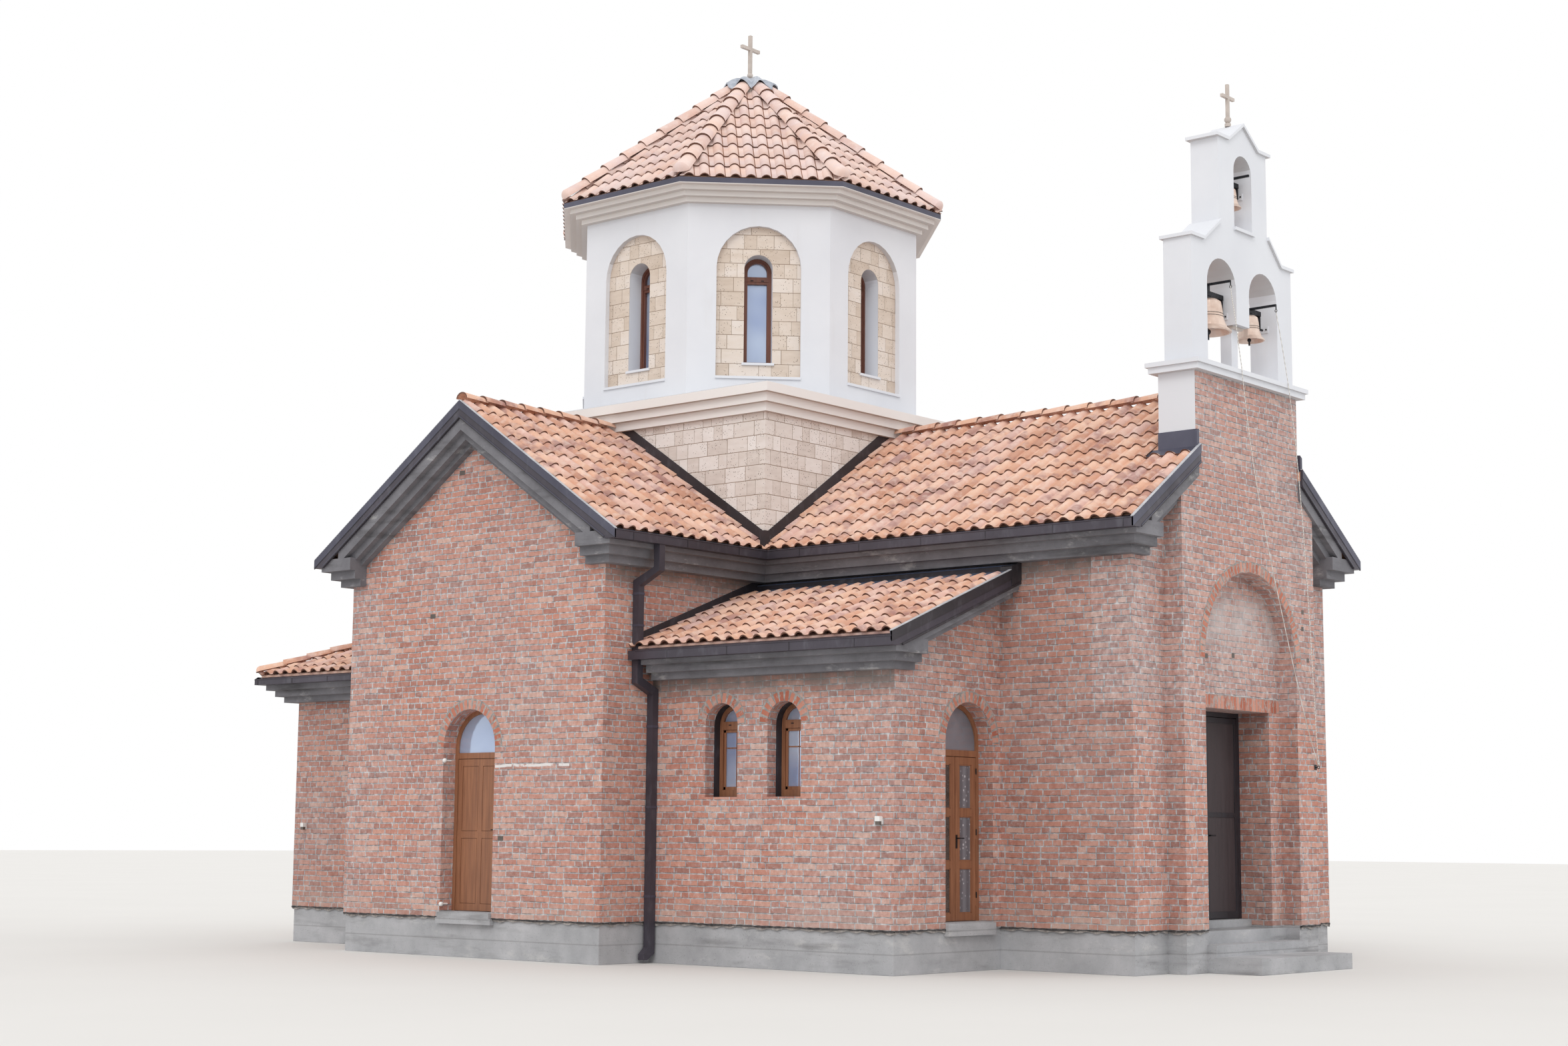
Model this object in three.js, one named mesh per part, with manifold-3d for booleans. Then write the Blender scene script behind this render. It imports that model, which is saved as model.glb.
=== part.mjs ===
// A brick church on a cross plan with an octagonal drum over the crossing and a
// bell gable over the entrance. Millimetres, +Z up, the entrance faces -Y, and
// the origin lies on the ground under the middle of the drum.

import * as THREE from 'three';
import { mergeVertices } from 'three/addons/utils/BufferGeometryUtils.js';
import Module from 'manifold-3d';

const wasm = await Module();
wasm.setup();

// Driving dimensions
const GAP = 0.3;
const BITE = 60;
const WALL = 380;
const NAVE_HALF = 2375;
const TRANSEPT_HALF = 2420;
const TRANSEPT_REACH = 5360;
const NAVE_REACH = 8150;
const REAR_REACH = 5100;
const PLINTH_TOP = 500;
const PLINTH_INSET = 25;
const FLOOR_TOP = 575;
const WALL_TOP = 4900;
const RIDGE = 7186;

// Porch bay in the middle of the entrance front
const PORCH_HALF = 1640;
const PORCH_FACE = -8400;
const RECESS_HALF = 1140;
const RECESS_BACK = -8150;
const RECESS_SPRING = 3738;
const FRONT_WALL_BACK = -7590;
const FRONT_DOOR_HALF = 852;
const FRONT_DOOR_HEAD = 3170;
const FRONT_DOOR_FACE = -7715;
const LANDING_FACE = -8200;
const LANDING_TOP = 478;
const THRESHOLD_TOP = 578;
const THRESHOLD_FACE = -7855;
const STEP_HALF = 1130;
const STEPS = [{ front: -8490, top: 328 }, { front: -9090, top: 190 }];

// Eaves, shared by every roof: how far each step of the cornice stands out
const STEP_OUT = [155, 250, 345];
const RAKE_OUT = [100, 200, 290];
const GUTTER_OUT = 465;
const GUTTER_SHEET = 12;
const PIPE = 98;
const PIPE_GAP = 8;
const PIPE_ROOM = 115;
const PIPE_OUT = 393;
const PIPE_NOTCH = 285;
const PIPE_WALL_GAP = 10;
const FASCIA_OUT = 322;
const RETURN_WIDTH = 260;
const TILE_OVERHANG = 395;
const MAIN_STEPS = [4900, 4995, 5105, 5162, 5273];
const MAIN_RAKE = [581, 506, 386];
const MAIN_FASCIA = 226;
const SLAB_TOP = 20;
const MAIN_SLAB = 145;
const LOW_SLAB = 120;

// Lean-to rooms beside the nave
const LEAN_SIDE = 4480;
const LEAN_FRONT = 6260;
const LEAN_RISE = 4874;
const LEAN_SLOPE = 0.3835;
const LEAN_STEPS = [3490, 3575, 3670, 3730, 3840];
const LEAN_RAKE = [385, 300];
const LEAN_FASCIA = 200;

// Corner rooms behind the transept
const ANNEX_SIDE = 4130;
const ANNEX_EAVE_TOP = 3850;
const ANNEX_SLOPE = 0.406;
const ANNEX_STEPS = [3460, 3545, 3635, 3715, 3798];

// Doors and windows in the side rooms
const TRANSEPT_DOOR = { half: 490, spring: 2677, centre: 0 };
const LEAN_DOOR = { half: 480, spring: 2700, centre: 3014 };
const DOOR_DEPTH = 210;
const FRAME_WIDTH = 55;
const FRAME_DEPTH = 70;
const LEAF_THICK = 45;
const LEAF_CLEAR = 7;
const PAIR_CLEAR = 4.5;
const KNUCKLE_RADIUS = 3.2;
const KNUCKLE_LENGTH = 110;
const SILL_OUT = 45;
const SILL_LOW = 420;
const SILL_TOP = 566;
const DOORSTEP = { half: 520, top: 495 };
const TRANSOM_LOW = 2530;
const TRANSOM_TOP = 2613;
const WINDOW_HALF = 263;
const WINDOW_SILL = 2035;
const WINDOW_SPRING = 2915;
const WINDOW_CENTRES = [-3588, -4594];
const WINDOW_DEPTH = 260;
const WINDOW_FRAME = 60;
const WINDOW_RAIL = 90;
const WINDOW_TRANSOM = [2865, 2965];

// Square stone base, drum and dome
const BASE_HALF = 2785;
const BASE_INNER = 2285;
const BASE_LOW = MAIN_STEPS[4] + 2 * GAP;
const BASE_TOP = 7143;
const BASE_STEPS = [7143, 7260, 7380, 7504];
const BASE_STEP_OUT = [66, 132, 198];
const SKIRT_TOP = 7658;
const DRUM_APOTHEM = 2415;
const DRUM_INNER = 2035;
const DRUM_TOP = 10366;
const NICHE_HALF = 594;
const NICHE_DEPTH = 80;
const NICHE_LOW = 7910;
const NICHE_SPRING = 9467;
const DRUM_WINDOW_HALF = 200;
const DRUM_WINDOW_SILL = 8115;
const DRUM_STEPS = [10366, 10434, 10502, 10570];
const DRUM_STEP_OUT = [85, 170, 255];
const DOME_EAVE_OUT = 345;
const DOME_EAVE_TOP = 10649;
const DOME_APEX = 12968;
const DOME_SLAB = 150;
const CROSS_BALL = 46;
const CROSS_TOP = 13674;
const HOOD = { reach: 330, rim: 70, neck: 70, top: 12985 };

// Bell gable
const BELFRY_HALF = 1275;
const BELFRY_BACK = -7880;
const LEDGE_STEPS = [7255, 7331, 7388];
const LEDGE_OUT = [89, 119];
const BELL_WALL_HALF = 1265;
const BELL_WALL_FRONT = -8363;
const BELL_WALL_BACK = -7970;
const BELL_Y = -8156;
const TOP_CENTRE = 45;
const SHOULDER = { outer: 975, low: 8950, inner: 610, high: 9258 };
const CROWN_LOW = 10371;
const CROWN_PEAK = 10632;
const CROWN_HALF = 373;
const CROWN_OUT = 70;
const CAP_THICK = 42;
const CAP_OUT = 36;
const BELL_ARCHES = [-526, 519];
const BELL_ARCH_HALF = 361;
const BELL_ARCH_SPRING = 8428;
const IMPOST = 8017;
const COLUMN_HALF = 78;
const TOP_ARCH_HALF = 226;
const TOP_ARCH_SILL = 9270;
const TOP_ARCH_SPRING = 10014;
const PLATE_THICK = 16;
const PIN_RADIUS = 14;
const PIN_PLAY = 0.8;
const ARM_THICK = 22;
const LEVER_HALF = 14;

// Each bell: middle, rim radius, rim, crown and pivot heights, inner face of the
// yoke's arms, half width of its opening, and its lever's height and reach
const BELLS = [
  {
    name: 'left', x: -526, radius: 300, rim: 7870, crown: 8290, pivot: 8130,
    arm: 314, opening: 361, beam: 8340, lever: 8487, tip: -8490,
  },
  {
    name: 'right', x: 519, radius: 200, rim: 7940, crown: 8265, pivot: 8140,
    arm: 230, opening: 361, beam: 8300, lever: 8355, tip: -8550,
  },
  {
    name: 'top', x: TOP_CENTRE, radius: 165, rim: 9590, crown: 9853, pivot: 9780,
    arm: 178, opening: 226, beam: 9890, lever: 9973, tip: -8456,
  },
];

// Ropes from the side of each lever's tip to an eye on the porch's right pier
const ROPE_RADIUS = 5;
const EYE = { x: 1592, z: 2500, out: 46 };
const ROPE_SIDE = LEVER_HALF + GAP + ROPE_RADIUS;
const ROPE_ROUTES = {
  left: [
    [BELLS[0].x + ROPE_SIDE, -8478, 8495],
    [BELLS[0].x + ROPE_SIDE, -8479, 8420],
    [-503, -8485, 8330],
    [-488, -8504, 8150],
    [-462, -8520, 7950],
    [-420, -8526, 7700],
    [-355, -8530, 7400],
    [-336, -8529, 7290],
    [-262, -8524, 6950],
    [-138, -8516, 6450],
    [15, -8507, 5950],
    [200, -8498, 5450],
    [425, -8488, 4900],
    [670, -8477, 4350],
    [920, -8467, 3800],
    [1180, -8457, 3250],
    [1400, -8450, 2830],
    [1530, -8447, 2612],
    [EYE.x - 7, PORCH_FACE - EYE.out, EYE.z + 26],
  ],
  right: [
    [BELLS[1].x + ROPE_SIDE, -8538, 8363],
    [BELLS[1].x + ROPE_SIDE, -8538, 8310],
    [565, -8536, 8200],
    [645, -8534, 7980],
    [738, -8532, 7700],
    [828, -8530, 7400],
    [858, -8529, 7290],
    [945, -8524, 6950],
    [1052, -8516, 6450],
    [1140, -8508, 5950],
    [1222, -8499, 5450],
    [1300, -8489, 4900],
    [1370, -8479, 4350],
    [1435, -8469, 3800],
    [1500, -8459, 3250],
    [1550, -8451, 2830],
    [1582, -8447, 2620],
    [EYE.x + 5, PORCH_FACE - EYE.out, EYE.z + 23],
  ],
};

// Materials
const BRICK = { color: 0xb0654f, roughness: 0.9 };
const CONCRETE = { color: 0x8c8d8b, roughness: 0.9 };
const RENDER = { color: 0xe6e7e9, roughness: 0.85 };
const TRAVERTINE = { color: 0xc9b8a0, roughness: 0.85 };
const ANTHRACITE = { color: 0x4a4c57, roughness: 0.45, metalness: 0.6 };
const TILE = { color: 0xc98765, roughness: 0.8 };
const TIMBER = { color: 0x8a4a28, roughness: 0.55 };
const DARK_TIMBER = { color: 0x3b2a26, roughness: 0.5 };
const GLASS = { color: 0x9aa0c0, roughness: 0.1 };
const BRONZE = { color: 0xc9a48c, roughness: 0.4, metalness: 0.8 };
const IRON = { color: 0x1f2024, roughness: 0.5, metalness: 0.6 };
const CROSS_STONE = { color: 0xb9aca0, roughness: 0.7 };
const ROPE = { color: 0xb7b4ae, roughness: 0.9 };

// Solid helpers. Corners are rounded to a fine grid so that shared planes agree exactly.
const GRID = 256;

function solidFrom(geometry) {
  const bare = geometry.clone();
  bare.deleteAttribute('normal');
  bare.deleteAttribute('uv');
  const points = bare.attributes.position.array;
  for (let i = 0; i < points.length; i += 1) {
    points[i] = Math.round(points[i] * GRID) / GRID;
  }
  const merged = mergeVertices(bare, 1e-3);
  const mesh = new wasm.Mesh({
    numProp: 3,
    vertProperties: new Float32Array(merged.attributes.position.array),
    triVerts: new Uint32Array(merged.index.array),
  });
  return new wasm.Manifold(mesh);
}

function join(...solids) {
  return wasm.Manifold.union(solids.flat());
}

function cut(solid, ...tools) {
  return wasm.Manifold.difference([solid, ...tools.flat()]);
}

function block(x0, x1, y0, y1, z0, z1) {
  const geometry = new THREE.BoxGeometry(Math.abs(x1 - x0), Math.abs(y1 - y0), Math.abs(z1 - z0));
  geometry.translate((x0 + x1) / 2, (y0 + y1) / 2, (z0 + z1) / 2);
  return solidFrom(geometry);
}

function shapeOf(outline) {
  if (outline instanceof THREE.Shape) {
    return outline;
  }
  return new THREE.Shape(outline.map(([a, b]) => new THREE.Vector2(a, b)));
}

// An outline swept along an axis: (x, y) along z, (x, z) along y, (y, z) along x
function prism(axis, outline, from, to) {
  const low = Math.min(from, to);
  const high = Math.max(from, to);
  const geometry = new THREE.ExtrudeGeometry(shapeOf(outline), {
    depth: high - low,
    bevelEnabled: false,
    curveSegments: 7,
  });
  const place = new THREE.Matrix4();
  if (axis === 'x') {
    place.set(0, 0, 1, low, 1, 0, 0, 0, 0, 1, 0, 0, 0, 0, 0, 1);
  } else if (axis === 'y') {
    place.set(1, 0, 0, 0, 0, 0, -1, high, 0, 1, 0, 0, 0, 0, 0, 1);
  } else {
    place.makeTranslation(0, 0, low);
  }
  geometry.applyMatrix4(place);
  return solidFrom(geometry);
}

function archShape(centre, half, low, spring) {
  const shape = new THREE.Shape();
  shape.moveTo(centre - half, low);
  shape.lineTo(centre + half, low);
  shape.absarc(centre, spring, half, 0, Math.PI, false);
  shape.lineTo(centre - half, low);
  return shape;
}

// A closed profile of [distance, height] points turned about the vertical axis.
// With eight sides the distance is measured to the middle of a side.
function lathed(profile, sides, x = 0, y = 0) {
  const stretch = sides === 8 ? 1 / Math.cos(Math.PI / 8) : 1;
  const points = profile.map(([r, z]) => new THREE.Vector2(r * stretch, z));
  const geometry = new THREE.LatheGeometry(points, sides, Math.PI / 8);
  geometry.rotateX(Math.PI / 2);
  geometry.translate(x, y, 0);
  return solidFrom(geometry);
}

function octagon(apothem, low, high) {
  return lathed([[0, low], [apothem, low], [apothem, high], [0, high]], 8);
}

function rod(axis, centre, radius, from, to, sides = 12) {
  const low = Math.min(from, to);
  const geometry = new THREE.CylinderGeometry(radius, radius, Math.abs(to - from), sides);
  if (axis === 'x') {
    geometry.rotateZ(-Math.PI / 2);
    geometry.translate(low + Math.abs(to - from) / 2, centre[0], centre[1]);
  } else if (axis === 'y') {
    geometry.translate(centre[0], low + Math.abs(to - from) / 2, centre[1]);
  } else {
    geometry.rotateX(Math.PI / 2);
    geometry.translate(centre[0], centre[1], low + Math.abs(to - from) / 2);
  }
  return solidFrom(geometry);
}

function mirrored(solid) {
  const mesh = solid.getMesh();
  const vertProperties = Float32Array.from(mesh.vertProperties);
  for (let i = 0; i < vertProperties.length; i += 3) {
    vertProperties[i] = -vertProperties[i];
  }
  const triVerts = Uint32Array.from(mesh.triVerts);
  for (let i = 0; i < triVerts.length; i += 3) {
    [triVerts[i], triVerts[i + 1]] = [triVerts[i + 1], triVerts[i]];
  }
  return new wasm.Manifold(new wasm.Mesh({ numProp: 3, vertProperties, triVerts }));
}

const church = new THREE.Group();

function add(name, solid, material) {
  const mesh = solid.getMesh();
  const geometry = new THREE.BufferGeometry();
  geometry.setAttribute('position', new THREE.Float32BufferAttribute(mesh.vertProperties, 3));
  geometry.setIndex(new THREE.Uint32BufferAttribute(mesh.triVerts, 1));
  geometry.computeVertexNormals();
  const piece = new THREE.Mesh(geometry, new THREE.MeshStandardMaterial({ flatShading: true, ...material }));
  piece.name = name;
  church.add(piece);
}

// The four arms of the cross
const NAVE = { axis: 'y', sign: -1, half: NAVE_HALF, reach: NAVE_REACH };
const REAR = { axis: 'y', sign: 1, half: NAVE_HALF, reach: REAR_REACH };
const LEFT = { axis: 'x', sign: -1, half: TRANSEPT_HALF, reach: TRANSEPT_REACH };
const RIGHT = { axis: 'x', sign: 1, half: TRANSEPT_HALF, reach: TRANSEPT_REACH };
const ARMS = [NAVE, REAR, LEFT, RIGHT];

function armBlock(arm, out0, out1, side0, side1, z0, z1) {
  if (arm.axis === 'y') {
    return block(side0, side1, arm.sign * out0, arm.sign * out1, z0, z1);
  }
  return block(arm.sign * out0, arm.sign * out1, side0, side1, z0, z1);
}

function armPrism(arm, outline, out0, out1) {
  return prism(arm.axis, outline, arm.sign * out0, arm.sign * out1);
}

function roofLine(arm, side) {
  const slope = (RIDGE - MAIN_STEPS[4]) / (arm.half + GUTTER_OUT);
  return RIDGE - slope * Math.abs(side);
}

// A band that follows both slopes, between two depths below the roof line
function chevron(arm, top, low, side) {
  const edge = roofLine(arm, side);
  return [
    [-side, edge - low],
    [0, RIDGE - low],
    [side, edge - low],
    [side, edge - top],
    [0, RIDGE - top],
    [-side, edge - top],
  ];
}

function roofZone(arm) {
  return armPrism(arm, chevron(arm, -3000, MAIN_SLAB + GAP, arm.half + 900), BASE_HALF, arm.reach + 900);
}

// The gable wall's own outline above a level, up to the underside of the roof
function gableOutline(arm, level) {
  const edge = roofLine(arm, arm.half) - MAIN_SLAB - GAP;
  return [
    [-arm.half, level],
    [arm.half, level],
    [arm.half, edge],
    [0, RIDGE - MAIN_SLAB - GAP],
    [-arm.half, edge],
  ];
}

// Foundation: plinth, floor, sills and landing
function foundation() {
  const inset = PLINTH_INSET;
  const nave = NAVE_HALF - inset;
  const transept = TRANSEPT_REACH - inset;
  const plinth = join(
    block(-nave, nave, -NAVE_REACH + inset, REAR_REACH - inset, 0, PLINTH_TOP),
    block(-PORCH_HALF + inset, PORCH_HALF - inset, PORCH_FACE + inset, 0, 0, PLINTH_TOP),
    block(-transept, transept, -TRANSEPT_HALF + inset, TRANSEPT_HALF - inset, 0, PLINTH_TOP),
    block(-LEAN_SIDE + inset, LEAN_SIDE - inset, -LEAN_FRONT + inset, 0, 0, PLINTH_TOP),
    block(-ANNEX_SIDE + inset, ANNEX_SIDE - inset, 0, REAR_REACH - inset, 0, PLINTH_TOP),
  );
  const step = STEP_HALF;
  const door = FRONT_DOOR_HALF - GAP;
  const shaped = cut(
    plinth,
    block(-step - GAP, step + GAP, PORCH_FACE - 50, LANDING_FACE, -10, PLINTH_TOP + 10),
    block(-step, step, PORCH_FACE - 50, RECESS_BACK + GAP, LANDING_TOP, PLINTH_TOP + 10),
    block(-door, door, PORCH_FACE - 50, FRONT_WALL_BACK, LANDING_TOP, PLINTH_TOP + 10),
  );
  const under = PLINTH_TOP - BITE;
  const naveFloor = NAVE_HALF - WALL - GAP;
  const crossFloor = TRANSEPT_HALF - WALL - GAP;
  const armFloor = TRANSEPT_REACH - WALL - GAP;
  const lean = LEAN_SIDE - WALL - GAP;
  const annex = ANNEX_SIDE - WALL - GAP;
  const rear = REAR_REACH - WALL - GAP;
  const floors = [
    block(-naveFloor, naveFloor, FRONT_WALL_BACK + GAP, rear, under, FLOOR_TOP),
    block(-armFloor, armFloor, -crossFloor, crossFloor, under, FLOOR_TOP),
  ];
  const transeptDoor = TRANSEPT_DOOR.half - GAP;
  const leanDoor = LEAN_DOOR.half - GAP;
  for (const side of [-1, 1]) {
    const inner = side * (NAVE_HALF + GAP);
    floors.push(
      block(inner, side * lean, -LEAN_FRONT + WALL + GAP, -TRANSEPT_HALF - GAP, under, FLOOR_TOP),
      block(inner, side * annex, TRANSEPT_HALF + GAP, rear, under, FLOOR_TOP),
      block(side * (armFloor - BITE), side * TRANSEPT_REACH, -transeptDoor, transeptDoor, under, FLOOR_TOP),
    );
    const lip = [side * (TRANSEPT_REACH - BITE), side * (TRANSEPT_REACH + SILL_OUT)];
    floors.push(
      block(...lip, -DOORSTEP.half, DOORSTEP.half, SILL_LOW, DOORSTEP.top),
      block(...lip, -transeptDoor, transeptDoor, SILL_LOW, SILL_TOP),
    );
    const middle = side * LEAN_DOOR.centre;
    const doorway = [middle - leanDoor, middle + leanDoor];
    floors.push(
      block(...doorway, -LEAN_FRONT, -LEAN_FRONT + WALL + BITE, under, FLOOR_TOP),
      block(...doorway, -LEAN_FRONT - SILL_OUT, -LEAN_FRONT + BITE, SILL_LOW, SILL_TOP),
    );
  }
  const threshold = block(-door, door, THRESHOLD_FACE, FRONT_WALL_BACK + BITE, under, THRESHOLD_TOP);
  return join(shaped, floors, threshold);
}

function entranceSteps() {
  const back = LANDING_FACE - GAP;
  return join(STEPS.map(({ front, top }) => block(-STEP_HALF, STEP_HALF, front, back, 0, top)));
}

// Brick walls
function recess() {
  const shape = archShape(0, RECESS_HALF, PLINTH_TOP - 50, RECESS_SPRING);
  return prism('y', shape, PORCH_FACE - 100, RECESS_BACK);
}

// The strip of front wall between the nave and the lean-to door
function leanJamb(naveSide) {
  const doorEdge = LEAN_DOOR.centre - LEAN_DOOR.half;
  const base = PLINTH_TOP + GAP;
  return block(-doorEdge, naveSide, -LEAN_FRONT, -LEAN_FRONT + WALL, base, LEAN_DOOR.spring);
}

function naveWall() {
  const base = PLINTH_TOP + GAP;
  const porchPier = block(-PORCH_HALF, -FRONT_DOOR_HALF, PORCH_FACE, FRONT_WALL_BACK, base, FRONT_DOOR_HEAD);
  const frontWall = block(-NAVE_HALF, -FRONT_DOOR_HALF, -NAVE_REACH, FRONT_WALL_BACK, base, FRONT_DOOR_HEAD);
  const corner = block(-NAVE_HALF, -NAVE_HALF + WALL, -NAVE_REACH + 10, -7500, base, FRONT_DOOR_HEAD);
  const start = FRONT_WALL_BACK + GAP;
  const side = block(-NAVE_HALF, -NAVE_HALF + WALL, start, -TRANSEPT_HALF - GAP, base, WALL_TOP);
  return cut(join(porchPier, frontWall, corner, side), recess());
}

function frontWallTop() {
  const level = FRONT_DOOR_HEAD + GAP;
  const wall = prism('y', gableOutline(NAVE, level), -NAVE_REACH, FRONT_WALL_BACK);
  const rakeLow = MAIN_RAKE[2] + GAP;
  const porchEdge = roofLine(NAVE, PORCH_HALF) - rakeLow;
  const porch = prism('y', [
    [-PORCH_HALF, level],
    [PORCH_HALF, level],
    [PORCH_HALF, porchEdge],
    [0, RIDGE - rakeLow],
    [-PORCH_HALF, porchEdge],
  ], PORCH_FACE, -NAVE_REACH + 10);
  const belfry = block(-BELFRY_HALF, BELFRY_HALF, PORCH_FACE, BELFRY_BACK, 5600, LEDGE_STEPS[0] - GAP);
  return cut(join(wall, porch, belfry), recess());
}

// The transept's wall on one side of its door: end -1 towards the entrance, +1 behind
function transeptSide(end, gap) {
  const base = PLINTH_TOP + GAP;
  const face = end * TRANSEPT_HALF;
  const front = -TRANSEPT_REACH + WALL;
  const side = block(-TRANSEPT_REACH, -NAVE_HALF + WALL, face, face - end * WALL, base, WALL_TOP);
  const gable = block(-TRANSEPT_REACH, front, face, end * TRANSEPT_DOOR.half, base, TRANSEPT_DOOR.spring);
  const seat = block(-TRANSEPT_REACH - 1, front + gap, 0, face + end, WALL_TOP - gap, WALL_TOP + 1);
  return cut(join(side, gable), seat);
}

function transeptTop(gap) {
  const half = TRANSEPT_HALF - WALL - gap;
  const back = -TRANSEPT_REACH + WALL;
  const lower = block(-TRANSEPT_REACH, back, -half, half, TRANSEPT_DOOR.spring + gap, WALL_TOP + 10);
  const upper = prism('x', gableOutline(LEFT, WALL_TOP), -TRANSEPT_REACH, back);
  const { half: doorHalf, spring } = TRANSEPT_DOOR;
  const opening = prism('x', archShape(0, doorHalf, spring - 50, spring), -TRANSEPT_REACH - 10, back + 10);
  return cut(join(lower, upper), opening);
}

function transeptRightWall() {
  return mirrored(join(transeptSide(-1, 0), transeptSide(1, 0), transeptTop(0)));
}

function rearWalls() {
  const base = PLINTH_TOP + GAP;
  const start = TRANSEPT_HALF + GAP;
  const inside = REAR_REACH - WALL;
  const pieces = [prism('y', gableOutline(REAR, base), inside, REAR_REACH)];
  for (const side of [-1, 1]) {
    const face = side * NAVE_HALF;
    pieces.push(
      block(face, side * (NAVE_HALF - WALL), start, inside + 10, base, WALL_TOP),
      block(side * ANNEX_SIDE, side * (ANNEX_SIDE - WALL), start, REAR_REACH, base, ANNEX_STEPS[0]),
      block(side * ANNEX_SIDE, side * (NAVE_HALF - 10), inside, REAR_REACH, base, ANNEX_STEPS[0]),
    );
  }
  return join(pieces);
}

function leanLine(x) {
  return LEAN_RISE - LEAN_SLOPE * (Math.abs(x) - NAVE_HALF);
}

// A band along the lean-to roof's slope, between two depths below its line
function leanBand(top, low, x0, x1) {
  return [
    [x0, leanLine(x0) - low],
    [x1, leanLine(x1) - low],
    [x1, leanLine(x1) - top],
    [x0, leanLine(x0) - top],
  ];
}

function leanSide() {
  const base = PLINTH_TOP + GAP;
  const doorEdge = LEAN_DOOR.centre + LEAN_DOOR.half;
  const inner = -LEAN_SIDE + WALL;
  const side = block(-LEAN_SIDE, inner, -LEAN_FRONT, -TRANSEPT_HALF - GAP, base, LEAN_STEPS[0]);
  const front = block(-LEAN_SIDE, -doorEdge, -LEAN_FRONT, -LEAN_FRONT + WALL, base, LEAN_DOOR.spring);
  const windows = WINDOW_CENTRES.map((centre) => (
    prism('x', archShape(centre, WINDOW_HALF, WINDOW_SILL, WINDOW_SPRING), -LEAN_SIDE - 10, inner + 10)
  ));
  return cut(join(side, front), windows);
}

function leanTop(gap) {
  const inner = -LEAN_SIDE + WALL + gap;
  const back = -LEAN_FRONT + WALL;
  const nave = -NAVE_HALF - GAP;
  const low = LOW_SLAB + GAP;
  const wall = prism('y', [
    [inner, LEAN_DOOR.spring + gap],
    [nave, LEAN_DOOR.spring + gap],
    [nave, leanLine(nave) - low],
    [-LEAN_SIDE, leanLine(LEAN_SIDE) - low],
    [-LEAN_SIDE, LEAN_STEPS[0] + gap],
    [inner, LEAN_STEPS[0] + gap],
  ], -LEAN_FRONT, back);
  const { half, spring, centre } = LEAN_DOOR;
  const opening = prism('y', archShape(-centre, half, spring - 50, spring), -LEAN_FRONT - 10, back + 10);
  return cut(wall, opening);
}

function leanRightWall() {
  return mirrored(join(leanSide(), leanTop(0), leanJamb(-NAVE_HALF - GAP)));
}

// Concrete cornices
function mainCorniceLeft() {
  const pieces = [];
  for (const arm of ARMS) {
    const across = arm.axis === 'y' ? TRANSEPT_HALF : NAVE_HALF;
    for (const side of [-1, 1]) {
      for (let i = 0; i < 3; i += 1) {
        const low = MAIN_STEPS[i] + GAP;
        const high = (i === 2 ? MAIN_STEPS[4] : MAIN_STEPS[i + 1]) + GAP + 0.2;
        const out = side * (arm.half + STEP_OUT[i]);
        const wallBack = arm === NAVE ? -FRONT_WALL_BACK : arm.reach - WALL;
        const inner = side * (arm.half - RETURN_WIDTH);
        pieces.push(
          armBlock(arm, across - WALL, wallBack - GAP, side * (arm.half - WALL), out, low, high),
          armBlock(arm, across, arm.reach + RAKE_OUT[i], side * (arm.half + GAP), out, low, high),
          armBlock(arm, arm.reach + GAP, arm.reach + RAKE_OUT[i], inner, out, low, high),
        );
      }
    }
    for (let i = 0; i < 3; i += 1) {
      const band = armPrism(arm, chevron(arm, MAIN_SLAB + GAP, MAIN_RAKE[i], arm.half), arm.reach + GAP,
        arm.reach + RAKE_OUT[i]);
      if (arm !== NAVE) {
        pieces.push(band);
      } else {
        const stop = (i === 2 ? BELFRY_HALF : PORCH_HALF) + GAP;
        pieces.push(cut(band, block(-stop, stop, -9000, -8000, 4000, 8000)));
      }
    }
  }
  const ring = cut(join(pieces), ARMS.map(roofZone), frontWallTop());
  const stoneBaseSpace = block(-3500, 3500, -3500, 3500, BASE_LOW, 6000);
  const rightHalf = block(-GAP / 2, 9000, -9000, 9000, 0, 9000);
  return cut(ring, stoneBaseSpace, rightHalf);
}

function leanCornice() {
  const pieces = [];
  const pipeSide = -TRANSEPT_HALF - PIPE_ROOM;
  for (let i = 0; i < 3; i += 1) {
    const low = LEAN_STEPS[i] + GAP;
    const high = (i === 2 ? LEAN_STEPS[4] : LEAN_STEPS[i + 1]) + GAP;
    const out = -LEAN_SIDE - STEP_OUT[i];
    const face = -LEAN_FRONT - GAP;
    const front = -LEAN_FRONT - RAKE_OUT[i];
    pieces.push(
      block(-LEAN_SIDE - 5, -LEAN_SIDE + WALL, -LEAN_FRONT + WALL + GAP, -TRANSEPT_HALF - GAP, low, high),
      block(out, -LEAN_SIDE - GAP, front, pipeSide, low, high),
      block(out, -LEAN_SIDE + RETURN_WIDTH, front, face, low, high),
    );
    if (i > 0) {
      const band = leanBand(LOW_SLAB + GAP, LEAN_RAKE[i - 1], -LEAN_SIDE, -NAVE_HALF - GAP);
      pieces.push(prism('y', band, front, face));
    }
  }
  const zone = prism('y', leanBand(-900, LOW_SLAB + GAP, -LEAN_SIDE - 900, -NAVE_HALF + 10), -7500, -2000);
  return cut(join(pieces), zone);
}

function annexLine(distance, limit) {
  return ANNEX_EAVE_TOP + ANNEX_SLOPE * (limit + GUTTER_OUT - distance);
}

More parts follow.
